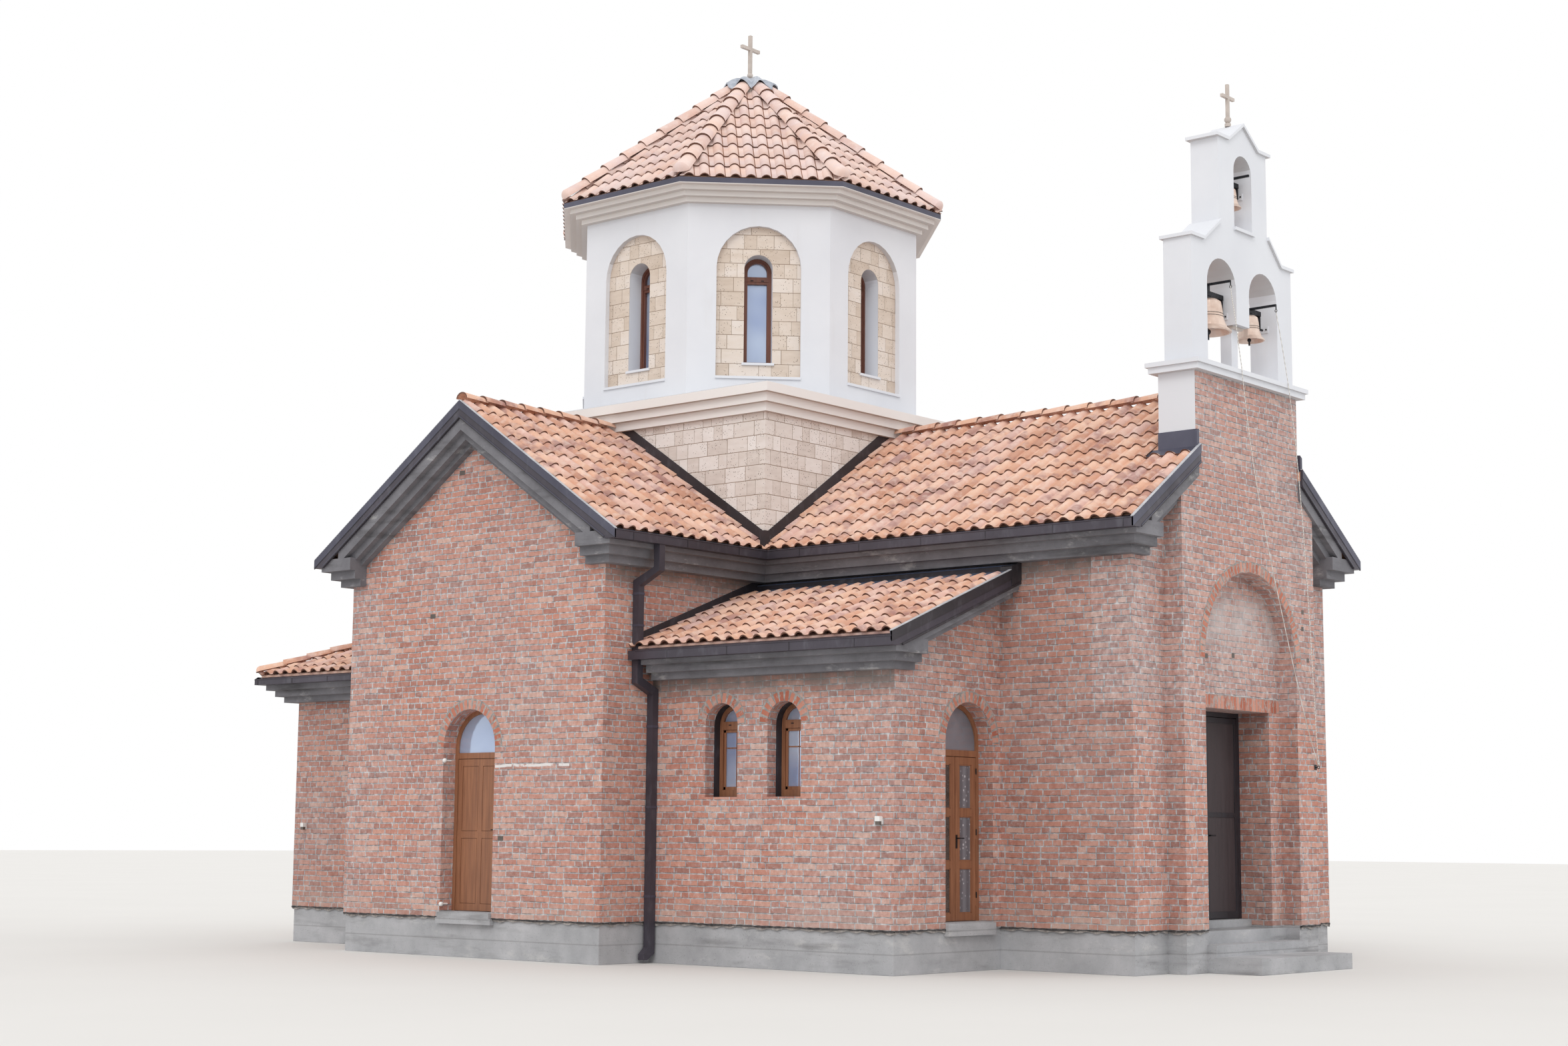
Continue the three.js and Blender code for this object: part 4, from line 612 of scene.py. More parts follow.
# Materials
BRICK_TRANSEPT = plain_brick_wall("brick_transept", "y", 4.9, limed=True)
# the nave's side walls carry painted shade
BRICK_NAVE = plain_brick_wall("brick_nave", "x", 4.9, 0.16)
BRICK_LOW = plain_brick_wall("brick_low", "x", 3.48)
BRICK_FRONT = front_brick_wall()
BRICK_SINGLE = loose_brick()
MORTAR = mortar_bed()
PLINTH = concrete("plinth_concrete", "b8b8bb", "999a9d", boards=0.25)
CORNICE = concrete("cornice_concrete", "858489", "66656a", streaks=0.7)
METAL = sheet_metal()
GUTTER_METAL = sheet_metal("gutter_metal", "504b55", "3a363e", 0.25)
DARK_METAL = sheet_metal("dark_sheet_metal", "413d43", "2c292d", 0.2)
# a blue-grey that paints the sky's reflection on the lean-to's wall flashings
SKY_REFLECTION_METAL = sheet_metal("sheet_metal_sky_reflection", "727e98", "545f76")
DRUM_GUTTER = drum_gutter_metal()
TILE = roof_tile("roof_tile", "94686a")
# tile edges and seams: brown colours that paint the shade under and beside the tiles
TILE_EDGE = tile_edge("roof_tile_edge", "553a30", "7a5546")
TILE_SEAM_SHADE = tile_edge("roof_tile_seam_shade", "7f5b4c", "a27763")
TILES = (TILE, TILE_EDGE, TILE_SEAM_SHADE)
DOME_TILES = (roof_tile("dome_tile", "c9a8a8", 0.5), TILE_EDGE, TILE_SEAM_SHADE)
STONE = base_stone()
RENDER = white_render()
CREAM_RENDER = white_render("cream_render", dark="dad5d2", pale="e3dfdc")
DRUM_RENDER = white_render("drum_render", niches=True)
TIMBER = timber("timber", "9c6a4c", "7b4f37")
BROWN_TIMBER = timber("brown_timber", "7b4c3c", "5c362b")
DARK_TIMBER = timber("dark_timber", "41373a", "322a2d", 0.5)
BLACK_TIMBER = timber("black_timber", "2b2930", "1d1b21", 0.4)
GLASS = glass()
GREY_GLASS = glass("grey_glass", "747780", "989aa4")
LACE = lace()
# panes of the left lean-to leaf: a dark brown that paints their lace in shade
DIM_PANE = painted("dim_pane", "5d514b", "3d3735", 0.25)
BRONZE = bronze()
IRON = iron()
ROPE = rope_fibre()
CROSS_PAINT = painted("cross_paint", "cbc0b8", "b3a8a0", 0.55)
LAMP_WHITE = painted("lamp_white", "f1f0ee", "dddcda", 0.4)
PALE_METAL = painted("pale_metal", "c9cace", "a9abb1", 0.5)
HOOD_METAL = painted("hood_metal", "c6ccd6", "8e95a1", 0.35)
DARK_PAINT_AND_HOLE_SHADE = painted("dark_paint_and_hole_shade", "6a625c", "544c47")
BITUMEN = bitumen()

NODE_MATERIALS = (
    (PLINTH, "foundation entrance_steps"),
    (BRICK_NAVE, "nave_wall_left nave_wall_right rear_walls"),
    (BRICK_FRONT, "front_wall_top"),
    (BRICK_TRANSEPT, "transept_left_wall_front transept_left_wall_rear transept_left_wall_top"),
    (BRICK_TRANSEPT, "transept_right_wall"),
    (BRICK_LOW, "lean_left_wall_side lean_left_wall_top lean_right_wall"),
    (CORNICE, "main_cornice_left main_cornice_right lean_left_cornice lean_right_cornice"),
    (CORNICE, "annex_left_cornice annex_right_cornice"),
    (GUTTER_METAL, "gutters"),
    (DRUM_GUTTER, "drum_gutter"),
    (TILE, "roof_nave roof_rear roof_transept_left roof_transept_right drum_roof"),
    (TILE, "roof_lean_left roof_lean_right roof_annex_left roof_annex_right"),
    (STONE, "stone_base"),
    (DRUM_RENDER, "drum_wall"),
    (CREAM_RENDER, "drum_cornice"),
    (RENDER, "bell_ledge bell_gable"),
    (GLASS, "drum_glass"),
    (CROSS_PAINT, "dome_cross gable_cross"),
    (BRONZE, "bell_left bell_right bell_top"),
    (IRON, "yoke_left yoke_right yoke_top rope_eye"),
    (BLACK_TIMBER, "front_door_frame"),
    (DARK_TIMBER, "front_door_leaf"),
    (TIMBER, "transept_door_frame transept_door_leaf transept_right_door"),
    (TIMBER, "lean_door_frame lean_door_leaf_left lean_door_leaf_right lean_right_door"),
    (TIMBER, "window_left_1 window_left_2 window_right_1 window_right_2"),
)

for material, names in NODE_MATERIALS:
    for name in names.split():
        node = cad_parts[name]
        node.data.materials.clear()
        node.data.materials.append(None)
        node.material_slots[0].link = "OBJECT"
        node.material_slots[0].material = material


# Mesh building
def circle(count):
    """Points round a unit circle."""
    turns = [2 * math.pi * i / count for i in range(count)]
    return [(math.cos(a), math.sin(a)) for a in turns]


class Shape:
    """Faces gathered for one piece; look is the number of the material that new faces take."""

    def __init__(self):
        self.points = []
        self.faces = []
        self.smooth = []
        self.looks = []
        self.look = 0

    def add(self, corners, smooth):
        self.faces.append(tuple(corners))
        self.smooth.append(smooth)
        self.looks.append(self.look)

    def face(self, corners):
        start = len(self.points)
        self.points += [tuple(c) for c in corners]
        self.add(range(start, start + len(corners)), False)

    def grid(self, rows, smooth=True, closed=False):
        """A skin over rows of points."""
        start = len(self.points)
        wide = len(rows[0])
        for row in rows:
            self.points += [tuple(p) for p in row]
        for r in range(len(rows) - 1):
            for c in range(wide if closed else wide - 1):
                d = (c + 1) % wide
                a = start + r * wide
                self.add((a + c, a + d, a + wide + d, a + wide + c), smooth)

    def box(self, low, high, place=lambda *p: p):
        """A block between two corners, mapped by place."""
        start = len(self.points)
        for z in (low[2], high[2]):
            for y in (low[1], high[1]):
                self.points += [tuple(place(x, y, z)) for x in (low[0], high[0])]
        for quad in ((0, 2, 3, 1), (4, 5, 7, 6), (0, 1, 5, 4), (2, 6, 7, 3), (0, 4, 6, 2), (1, 3, 7, 5)):
            self.add((start + i for i in quad), False)

    def prism(self, outline, depth_low, depth_high, place):
        """An outline of (a, b) points between two depths, mapped by place(a, b, depth)."""
        count = len(outline)
        start = len(self.points)
        for depth in (depth_low, depth_high):
            self.points += [tuple(place(a, b, depth)) for a, b in outline]
        self.add((start + i for i in reversed(range(count))), False)
        self.add((start + count + i for i in range(count)), False)
        for i in range(count):
            j = (i + 1) % count
            self.add((start + i, start + j, start + count + j, start + count + i), False)

    def band(self, place, first, first_depth, second, second_depth):
        """A closed strip between two outlines of (a, b) points, each at its depth."""
        self.grid([
            [place(a, b, depth) for a, b in outline + outline[:1]]
            for outline, depth in ((first, first_depth), (second, second_depth))
        ], smooth=False)

    def rod(self, start, end, radius, sides):
        """A round bar with flat ends."""
        start = Vector(start)
        end = Vector(end)
        turn = (end - start).to_track_quat("Z", "Y")
        round_points = [turn @ Vector((radius * x, radius * y, 0)) for x, y in circle(sides)]
        rings = [[centre + p for p in round_points] for centre in (start, end)]
        self.grid(rings, closed=True)
        self.face(list(reversed(rings[0])))
        self.face(rings[1])

    def ring(self, centre, normal, radius, thick, turns, sides):
        """A ring of round section."""
        turn = Vector(normal).to_track_quat("Z", "Y")
        rows = []
        for i in range(turns + 1):
            a = 2 * math.pi * i / turns
            outward = Vector((math.cos(a), math.sin(a), 0))
            rows.append([
                Vector(centre) + turn @ (outward * (radius + thick * x) + UP * (thick * y))
                for x, y in circle(sides)
            ])
        self.grid(rows, closed=True)

    def ball(self, centre, radius, turns=12, rings=8):
        """A globe."""
        rows = []
        for i in range(rings + 1):
            b = math.pi * i / rings
            rows.append([
                Vector(centre) + Vector((math.sin(b) * x, math.sin(b) * y, math.cos(b))) * radius
                for x, y in circle(turns)
            ])
        self.grid(rows, closed=True)

    def take(self, faces, points, smooth, looks):
        """Adds the faces of another mesh."""
        base = len(self.points)
        self.points += points
        self.faces += [tuple(base + i for i in f) for f in faces]
        self.smooth += smooth
        self.looks += looks

    def mesh(self, name):
        mesh = bpy.data.meshes.new(name)
        mesh.from_pydata(self.points, [], self.faces)
        mesh.polygons.foreach_set("use_smooth", self.smooth)
        mesh.polygons.foreach_set("material_index", self.looks)
        return mesh

    def piece(self, name, materials, slot, body="building", bevel=0.0):
        """The gathered faces as one object that rides on a body."""
        mesh = self.mesh(name)
        for material in materials if isinstance(materials, tuple) else (materials,):
            mesh.materials.append(material)
        mesh.update()
        made = add_object(name, mesh)
        if bevel:
            rounded = made.modifiers.new("edges", "BEVEL")
            rounded.width = bevel
            rounded.segments = 2
            rounded.limit_method = "ANGLE"
        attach(made, body)
        return made


def on_wall(origin, along, out):
    """Maps (along a wall, up, off it) from an origin on the wall."""
    origin, along, out = (Vector(v) for v in (origin, along, out))
    return lambda a, z, o: origin + along * a + UP * z + out * o


def on_slope(origin, out, along, drop, lift=1):
    """Maps (outward, off the slope, along it) where the slope falls by drop for each metre outward."""
    return lambda a, z, o: origin + out * a + along * o + UP * (lift * z - drop * a)


def arched(half, low, spring, steps=14):
    """The outline of an opening with a round head."""
    points = [(-half, low), (half, low)]
    for i in range(steps + 1):
        a = math.pi * i / steps
        points.append((half * math.cos(a), spring + half * math.sin(a)))
    return points


# Ropes of the two lower bells, each from its lever to an eye on the porch
ROPE_ROUTES = {
    "left": (
        (-0.5067, -8.478, 8.495), (-0.5067, -8.479, 8.42), (-0.503, -8.485, 8.33), (-0.488, -8.504, 8.15),
        (-0.462, -8.52, 7.95), (-0.42, -8.526, 7.7), (-0.355, -8.53, 7.4), (-0.336, -8.529, 7.29),
        (-0.262, -8.524, 6.95), (-0.138, -8.516, 6.45), (0.015, -8.507, 5.95), (0.2, -8.498, 5.45),
        (0.425, -8.488, 4.9), (0.67, -8.477, 4.35), (0.92, -8.467, 3.8), (1.18, -8.457, 3.25),
        (1.4, -8.45, 2.83), (1.53, -8.447, 2.612), (1.585, -8.446, 2.526),
    ),
    "right": (
        (0.5383, -8.538, 8.363), (0.5383, -8.538, 8.31), (0.565, -8.536, 8.2), (0.645, -8.534, 7.98),
        (0.738, -8.532, 7.7), (0.828, -8.53, 7.4), (0.858, -8.529, 7.29), (0.945, -8.524, 6.95),
        (1.052, -8.516, 6.45), (1.14, -8.508, 5.95), (1.222, -8.499, 5.45), (1.3, -8.489, 4.9),
        (1.37, -8.479, 4.35), (1.435, -8.469, 3.8), (1.5, -8.459, 3.25), (1.55, -8.451, 2.83),
        (1.582, -8.447, 2.62), (1.597, -8.446, 2.523),
    ),
}
ROPE_RADIUS = 0.005


def curve_length(spline, steps):
    """The length of a curve, measured over the steps that it is drawn with."""
    length = 0.0
    for a, b in zip(spline.bezier_points, spline.bezier_points[1:]):
        previous = a.co.copy()
        for i in range(1, steps + 1):
            t = i / steps
            here = (
                a.co * (1 - t) ** 3 + a.handle_right * (3 * t * (1 - t) ** 2)
                + b.handle_left * (3 * t * t * (1 - t)) + b.co * t ** 3
            )
            length += (here - previous).length
            previous = here
    return length


def hang_rope(side, points):
    """A rope on its route, with a shackle at the lever and a knot at the eye."""
    curve = bpy.data.curves.new(f"bell_rope_{side}", "CURVE")
    curve.dimensions = "3D"
    curve.bevel_depth = ROPE_RADIUS
    curve.bevel_resolution = 3
    curve.resolution_u = 6
    curve.use_fill_caps = True
    spline = curve.splines.new("BEZIER")
    spline.bezier_points.add(len(points) - 1)
    for bend, point in zip(spline.bezier_points, points):
        bend.co = point
        bend.handle_left_type = "AUTO"
        bend.handle_right_type = "AUTO"
    curve.materials.append(ROPE)
    rope = add_object(f"bell_rope_{side}", curve)
    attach(rope, "building")
    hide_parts(f"rope_{side}")
    first = Vector(points[0])
    shackle = Shape()
    shackle.ring(first - UP * 0.075, RIGHT, 0.016, 0.004, 20, 8)
    shackle.rod(first - UP * 0.061, first - UP * 0.006, 0.0075, 10)
    hook = shackle.piece(f"rope_shackle_{side}", IRON, "iron")
    last = Vector(points[-1])
    knot = Shape()
    for i in range(3):
        knot.ring(last + UP * (0.012 + 0.011 * i), (0.25, 0.1 * i - 0.1, 1), 0.009, 0.0055, 14, 8)
    tied = knot.piece(f"rope_knot_{side}", ROPE, "rope")
    bpy.context.view_layer.update()
    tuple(points[0])
    round(curve_length(spline, curve.resolution_u), 3)


for side, points in ROPE_ROUTES.items():
    hang_rope(side, points)


# Roof tiles
TILE_PITCH = 0.2159
TILE_COURSE = 0.357
TILE_LAP = 0.05
TILE_WAVE = 0.046
TILE_TROUGH = 0.006
TILE_LIFT = 0.03
TILE_LOW = 0.006
TILE_THICK = 0.018
TILE_ROLL = 0.64
TILE_REACH = 0.43
TILE_INSET = 0.004
FIRST_COURSE = 0.22
ARM_COURSE_END = 3.19
TILE_STEPS = (0.0, 0.05, 0.13, 0.22, 0.32, 0.42, 0.51, 0.59, 0.64, 0.7, 0.82, 0.94, 1.0)
FACE_LOOK, EDGE_LOOK, SEAM_SHADE_LOOK = range(3)


def tile_wave(share):
    """The height of a tile's face: a round roll and a shallow trough beside it."""
    if share < TILE_ROLL:
        return TILE_WAVE * math.sin(math.pi * share / TILE_ROLL) ** 0.7
    return -TILE_TROUGH * math.sin(math.pi * (share - TILE_ROLL) / (1 - TILE_ROLL))


def add_tile(shape, place, across, start, end):
    """One tile: its face, with painted shade in the seam along the foot of the roll, and its thick lower edge
    in painted shade.
    """
    count = len(TILE_STEPS)
    first = len(shape.points)
    for down, lift in ((start, TILE_LOW), (end, TILE_LIFT), (end, TILE_LIFT - TILE_THICK)):
        shape.points += [place(across + s * TILE_PITCH, down, lift + tile_wave(s)) for s in TILE_STEPS]
    for c in range(count - 1):
        a = first + c
        # the seam at the roll's foot and the lower edge take colours with painted shade
        shape.look = SEAM_SHADE_LOOK if TILE_STEPS[c] == TILE_ROLL else FACE_LOOK
        shape.add((a, a + 1, a + count + 1, a + count), True)
        shape.look = EDGE_LOOK
        shape.add((a + count, a + count + 1, a + 2 * count + 1, a + 2 * count), False)


def course_ends(first, last):
    """Lower ends of the courses, counted up from the first whole one over the eave."""
    ends = [last]
    here = first
    while here > 0.1:
        ends.append(here)
        here -= TILE_COURSE
    return sorted(ends)


def tile_field(shape, place, width, ends, offset=0.0, top=0.0, clips=()):
    """Courses of tiles; clips are (point, outward direction) planes that cut them off."""
    part = Shape()
    start = top
    for end in ends:
        if end <= top + 0.02:
            continue
        for column in range(math.ceil(width / TILE_PITCH - 0.001)):
            add_tile(part, place, offset + column * TILE_PITCH, max(start - TILE_LAP, top), end)
        start = end
    if not clips:
        shape.take(part.faces, part.points, part.smooth, part.looks)
        return
    mesh = part.mesh("scratch")
    work = bmesh.new()
    work.from_mesh(mesh)
    for point, outward in clips:
        everything = work.verts[:] + work.edges[:] + work.faces[:]
        bmesh.ops.bisect_plane(work, geom=everything, plane_co=point, plane_no=outward, clear_outer=True)
    work.verts.index_update()
    shape.take(
        [tuple(v.index for v in f.verts) for f in work.faces],
        [tuple(v.co) for v in work.verts],
        [f.smooth for f in work.faces],
        [f.material_index for f in work.faces],
    )
    work.free()
    bpy.data.meshes.remove(mesh)


def slope_place(origin, along, down, drop):
    """Maps (across, down the slope, off it) for a slope that falls by drop for each metre out."""
    angle = math.atan(drop)
    fall = down * math.cos(angle) - Vector((0, 0, math.sin(angle)))
    off = down * math.sin(angle) + Vector((0, 0, math.cos(angle)))
    return lambda a, d, n: origin + along * a + fall * d + off * n


# Each arm: directions along and across it, half width and reach
ARMS = {
    "nave": (FORWARD, RIGHT, NAVE_HALF, NAVE_REACH),
    "rear": (BACK, RIGHT, NAVE_HALF, REAR_REACH),
    "transept_left": (-RIGHT, BACK, TRANSEPT_HALF, TRANSEPT_REACH),
    "transept_right": (RIGHT, BACK, TRANSEPT_HALF, TRANSEPT_REACH),
}
BELFRY_COLUMNS = 3


def arm_slopes(wanted=None):
    """Each slope of the arms' roofs: arm's name, directions along it and out, half width, reach, fall."""
    for name, (along, across, half, reach) in ARMS.items():
        if wanted not in (None, name):
            continue
        for side in (-1, 1):
            yield name, along, across * side, half, reach, (RIDGE - EAVE_TOP) / (half + GUTTER_OUT)


def barrel(shape, start, end, radius, height, cap=False):
    """Overlapping half-round tiles along a ridge or hip, wider at each lower end."""
    run = end - start
    count = max(1, round(run.length / 0.36))
    across = run.cross(UP).normalized()
    off = across.cross(run).normalized()
    turns = [math.pi * (j / 10) for j in range(11)]

    def arc(centre, share, lift):
        return [
            centre + across * (radius * share * math.cos(a)) + off * (height * share * math.sin(a) + lift)
            for a in turns
        ]

    for i in range(count):
        low = start + run * (i / count)
        high = start + run * min(1.0, (i + 1.12) / count)
        lip = arc(low, 1.0, 0.016)
        shape.look = FACE_LOOK
        shape.grid([lip, arc(high, 0.86, 0.0)])
        # the strip under each barrel's lip takes the edge's painted shade
        shape.look = EDGE_LOOK
        shape.grid([arc(low, 0.82, 0.010), lip], smooth=False)
        if cap and i == 0:
            shape.look = FACE_LOOK
            rings = []
            for share in (0.0, 0.35, 0.65, 0.88, 1.0):
                bulge = run.normalized() * (-0.07 * share)
                rings.append(arc(low + bulge, math.sqrt(1 - share ** 2) + 0.01, 0.016))
            shape.grid(rings)


def arm_roofs():
    """Tiles and ridge of the four arms; the belfry's foot keeps the first columns of the nave short."""
    for arm in ARMS:
        field = Shape()
        for _, along, out, half, reach, drop in arm_slopes(arm):
            stretch = math.hypot(1, drop)
            ends = course_ends(ARM_COURSE_END, (half + TILE_REACH) * stretch)
            outer = reach + RAKE_OUT - TILE_INSET
            width = outer - BASE_HALF - 0.03
            beside = BELFRY_COLUMNS * TILE_PITCH if arm == "nave" else 0.0
            place = slope_place(along * outer + UP * (RIDGE - SLAB_TOP), -along, out, drop)
            if beside:
                tile_field(field, place, beside, ends, top=(BELFRY_HALF + 0.16) * stretch)
            tile_field(field, place, width - beside, ends, offset=beside)
        field.piece(f"tiles_{arm}", TILES, "roof_tile")
        crest = UP * (RIDGE + 0.016)
        stop = -BELFRY_BACK - 0.012 if arm == "nave" else outer
        ridge = Shape()
        barrel(ridge, along * stop + crest, along * (BASE_HALF + 0.07) + crest, 0.105, 0.085)
        ridge.piece(f"ridge_{arm}", TILES, "roof_tile")


def lean_roofs():
    stretch = math.hypot(1, LEAN_SLOPE)
    outer = LEAN_FRONT + RAKE_OUT - TILE_INSET
    last = (LEAN_SIDE + TILE_REACH - NAVE_HALF) * stretch
    ends = course_ends(last - FIRST_COURSE, last)
    for out, name in ((-RIGHT, "left"), (RIGHT, "right")):
        field = Shape()
        origin = out * NAVE_HALF + FORWARD * outer + UP * (LEAN_RISE - SLAB_TOP)
        place = slope_place(origin, BACK, out, LEAN_SLOPE)
        tile_field(field, place, outer - TRANSEPT_HALF - 0.02, ends, top=0.36)
        field.piece(f"tiles_lean_{name}", TILES, "roof_tile")


def annex_roofs():
    """Two hipped slopes on each annex and the barrels of the hip."""
    hip = REAR_REACH - ANNEX_SIDE
    hip_point = BACK * hip
    rise = ANNEX_RISE + ANNEX_SLOPE * (ANNEX_SIDE + GUTTER_OUT - NAVE_HALF) - SLAB_TOP
    last = (ANNEX_SIDE + TILE_REACH - NAVE_HALF) * math.hypot(1, ANNEX_SLOPE)
    ends = course_ends(last - FIRST_COURSE, last)
    side_width = 3.3
    rear_width = 2.35
    hip_out = 0.40
    for out, name in ((-RIGHT, "left"), (RIGHT, "right")):
        field = Shape()
        outward = BACK - out
        inner = out * NAVE_HALF + UP * rise
        place = slope_place(inner + BACK * TRANSEPT_HALF, BACK, out, ANNEX_SLOPE)
        tile_field(field, place, side_width, ends, offset=0.02, top=0.1, clips=[(hip_point, outward)])
        high = inner + BACK * (hip + NAVE_HALF)
        place = slope_place(high, out, BACK, ANNEX_SLOPE)
        wall = (out * (NAVE_HALF + 0.01), -out)
        tile_field(field, place, rear_width, ends, offset=-0.05, clips=[(hip_point, -outward), wall])
        low = out * (ANNEX_SIDE + hip_out) + BACK * (REAR_REACH + hip_out)
        low.z = ANNEX_RISE + ANNEX_SLOPE * (GUTTER_OUT - hip_out) + 0.03
        barrel(field, low, high + UP * 0.05, 0.095, 0.08, cap=True)
        field.piece(f"tiles_annex_{name}", TILES, "roof_tile")


# Rings of the dome's hood: radius, height over the hips, height between them
HOOD_RINGS = (
    (0.045, 12.995, 12.995), (0.13, 12.988, 12.952), (0.24, 12.966, 12.864),
    (0.33, 12.926, 12.792), (0.41, 12.878, 12.742), (0.405, 12.86, 12.728),
)


def dome_hood(half_turn):
    """The crumpled sheet over the dome's top."""
    hood = Shape()
    rows = []
    for r, crest, trough in HOOD_RINGS:
        row = []
        for k in range(96):
            a = 2 * math.pi * k / 96
            ridge = 0.5 + 0.5 * math.cos(8 * (a - half_turn))
            crumple = 0.005 * math.sin(13 * a + 9 * r) + 0.004 * math.sin(29 * a - 17 * r)
            reach = r * (1 + 0.05 * math.sin(11 * a) * r / 0.37)
            height = trough + (crest - trough) * ridge ** 0.7 + crumple * min(1.0, r / 0.2)
            row.append((reach * math.cos(a), reach * math.sin(a), height))
        rows.append(row)
    hood.grid(rows, closed=True)
    hood.piece("dome_hood", HOOD_METAL, "sheet_metal")


def turned(angle):
    """Level directions out and along for a face of the drum turned by an angle."""
    return Vector((math.cos(angle), math.sin(angle), 0)), Vector((-math.sin(angle), math.cos(angle), 0))


def dome_roof():
    """Eight tiled faces, their hip tiles and the hood."""
    field = Shape()
    hips = Shape()
    eave = DRUM_APOTHEM + DRUM_GUTTER_OUT
    drop = (DOME_APEX - DOME_EAVE_TOP) / eave
    last = (eave - 0.02) * math.hypot(1, drop)
    ends = course_ends(last - TILE_COURSE, last)
    half_turn = math.pi / 8
    reach = eave / math.cos(half_turn)
    fall = (DOME_APEX - DOME_EAVE_TOP) / reach
    width = 12 * TILE_PITCH
    hip_foot = 0.07
    hip_head = 0.27
    for i in range(8):
        angle = i * math.pi / 4
        out, along = turned(angle)
        place = slope_place(UP * (DOME_APEX - SLAB_TOP), along, out, drop)
        clips = [(Vector(), turned(angle + turn * half_turn)[1] * turn) for turn in (-1, 1)]
        tile_field(field, place, width, ends, offset=-width / 2, top=0.2, clips=clips)
        corner = turned(angle + half_turn)[0]
        low = corner * (reach - hip_foot) + UP * (DOME_EAVE_TOP + hip_foot * fall + 0.04)
        high = corner * hip_head + UP * (DOME_APEX - hip_head * fall + 0.02)
        barrel(hips, low, high, 0.125, 0.118, cap=True)
    field.piece("tiles_dome", DOME_TILES, "roof_tile")
    hips.piece("hip_tiles_dome", DOME_TILES, "roof_tile")
    dome_hood(half_turn)


arm_roofs()
lean_roofs()
annex_roofs()
dome_roof()


# Sheet metal: eave strips, seams, verge boards, flashings
def eave_strips():
    """A strip from each gutter's outer lip up to the tile ends, and the gutters' seams."""
    strip = Shape()
    seams = Shape()

    def gutter(along, out, edge, top, low, start, stop, spacing=0.98):
        a = along * start
        b = along * stop
        lip = out * (edge + 0.001)
        crest = lip + UP * (top + 0.002)
        inner = out * (edge - 0.075) + UP * (top + 0.03)
        bead = lip + UP * (top - 0.006)
        strip.face([a + crest, b + crest, b + inner, a + inner])
        strip.rod(a + bead, b + bead, 0.007, 8)
        here = start + 0.55
        while here < stop:
            place = on_wall(along * here + out * edge, -along, out)
            seams.box((-0.005, low, 0.0), (0.005, top, 0.004), place)
            here += spacing

    for name, along, out, half, reach, _ in arm_slopes():
        across = NAVE_HALF if name.startswith("transept") else TRANSEPT_HALF
        start = across + GUTTER_OUT
        gutter(along, out, half + GUTTER_OUT, EAVE_TOP, GUTTER_LOW, start, reach + FASCIA_OUT - 0.01)
    lean = (LEAN_SIDE + GUTTER_OUT, LEAN_EAVE_TOP, LEAN_GUTTER_LOW)
    annex = (ANNEX_EAVE_TOP, ANNEX_GUTTER_LOW)
    corner = ANNEX_SIDE + GUTTER_OUT
    rear = REAR_REACH + GUTTER_OUT
    for out in (-RIGHT, RIGHT):
        gutter(FORWARD, out, *lean, TRANSEPT_HALF + 0.12, LEAN_FRONT + FASCIA_OUT - 0.01)
        gutter(BACK, out, corner, *annex, TRANSEPT_HALF + 0.12, rear, 0.8)
        gutter(out, BACK, rear, *annex, NAVE_HALF, corner, 0.8)
    strip.piece("eave_strips", GUTTER_METAL, "sheet_metal")
    seams.piece("gutter_seams", DARK_METAL, "sheet_metal")


def verge_boards():
    """The upper board of each verge, its raised lip, the groove under it and the drip edge, these two dark
    with painted shade.
    """

    def board(shapes, low_end, high_end, drop, foot, place, outer):
        """Runs down the slope; place(a, depth below the line, out), its lower tier stops over foot."""
        boards, shaded_grooves, lips = shapes
        boards.box((low_end, -0.002, outer - 0.02), (high_end, 0.108, outer + 0.006), place)
        shaded_grooves.box((low_end, 0.108, outer - 0.01), (high_end, 0.122, outer + 0.002), place)
        lips.box((low_end, -0.012, outer - 0.034), (high_end, 0.0, outer + 0.004), place)
        tier_end = min(high_end, low_end + (place(low_end, 0.235, 0).z - foot) / drop)
        boards.box((low_end, 0.2, outer - 0.005), (tier_end, 0.216, outer + 0.005), place)
        shaded_grooves.rod(place(low_end, 0.222, outer - 0.002), place(tier_end, 0.222, outer - 0.002), 0.01, 8)

    main = (Shape(), Shape(), Shape())
    for name, along, out, half, reach, drop in arm_slopes():
        place = on_slope(UP * RIDGE, out, along, drop, lift=-1)
        start = BELFRY_HALF + 0.002 if name == "nave" else 0.0
        board(main, start, half + GUTTER_OUT, drop, GUTTER_LOW, place, reach + FASCIA_OUT)
    lean = (Shape(), Shape(), Shape())
    outer = LEAN_FRONT + FASCIA_OUT
    for out in (-RIGHT, RIGHT):
        place = on_slope(UP * (LEAN_RISE + LEAN_SLOPE * NAVE_HALF), out, FORWARD, LEAN_SLOPE, lift=-1)
        board(lean, NAVE_HALF + 0.005, LEAN_SIDE + GUTTER_OUT, LEAN_SLOPE, LEAN_GUTTER_LOW, place, outer)
        lean[1].box((NAVE_HALF + 0.004, -0.045, outer - 0.16), (NAVE_HALF + 0.21, 0.19, outer + 0.009), place)
    for shapes, name, coat in ((main, "verge", METAL), (lean, "lean_verge", DARK_METAL)):
        # the groove and the drip edge take the dark sheet as painted shade
        kinds = (("boards", coat), ("shaded_grooves", DARK_METAL), ("lips", PALE_METAL))
        for shape, (kind, material) in zip(shapes, kinds):
            shape.piece(f"{name}_{kind}", material, "sheet_metal")


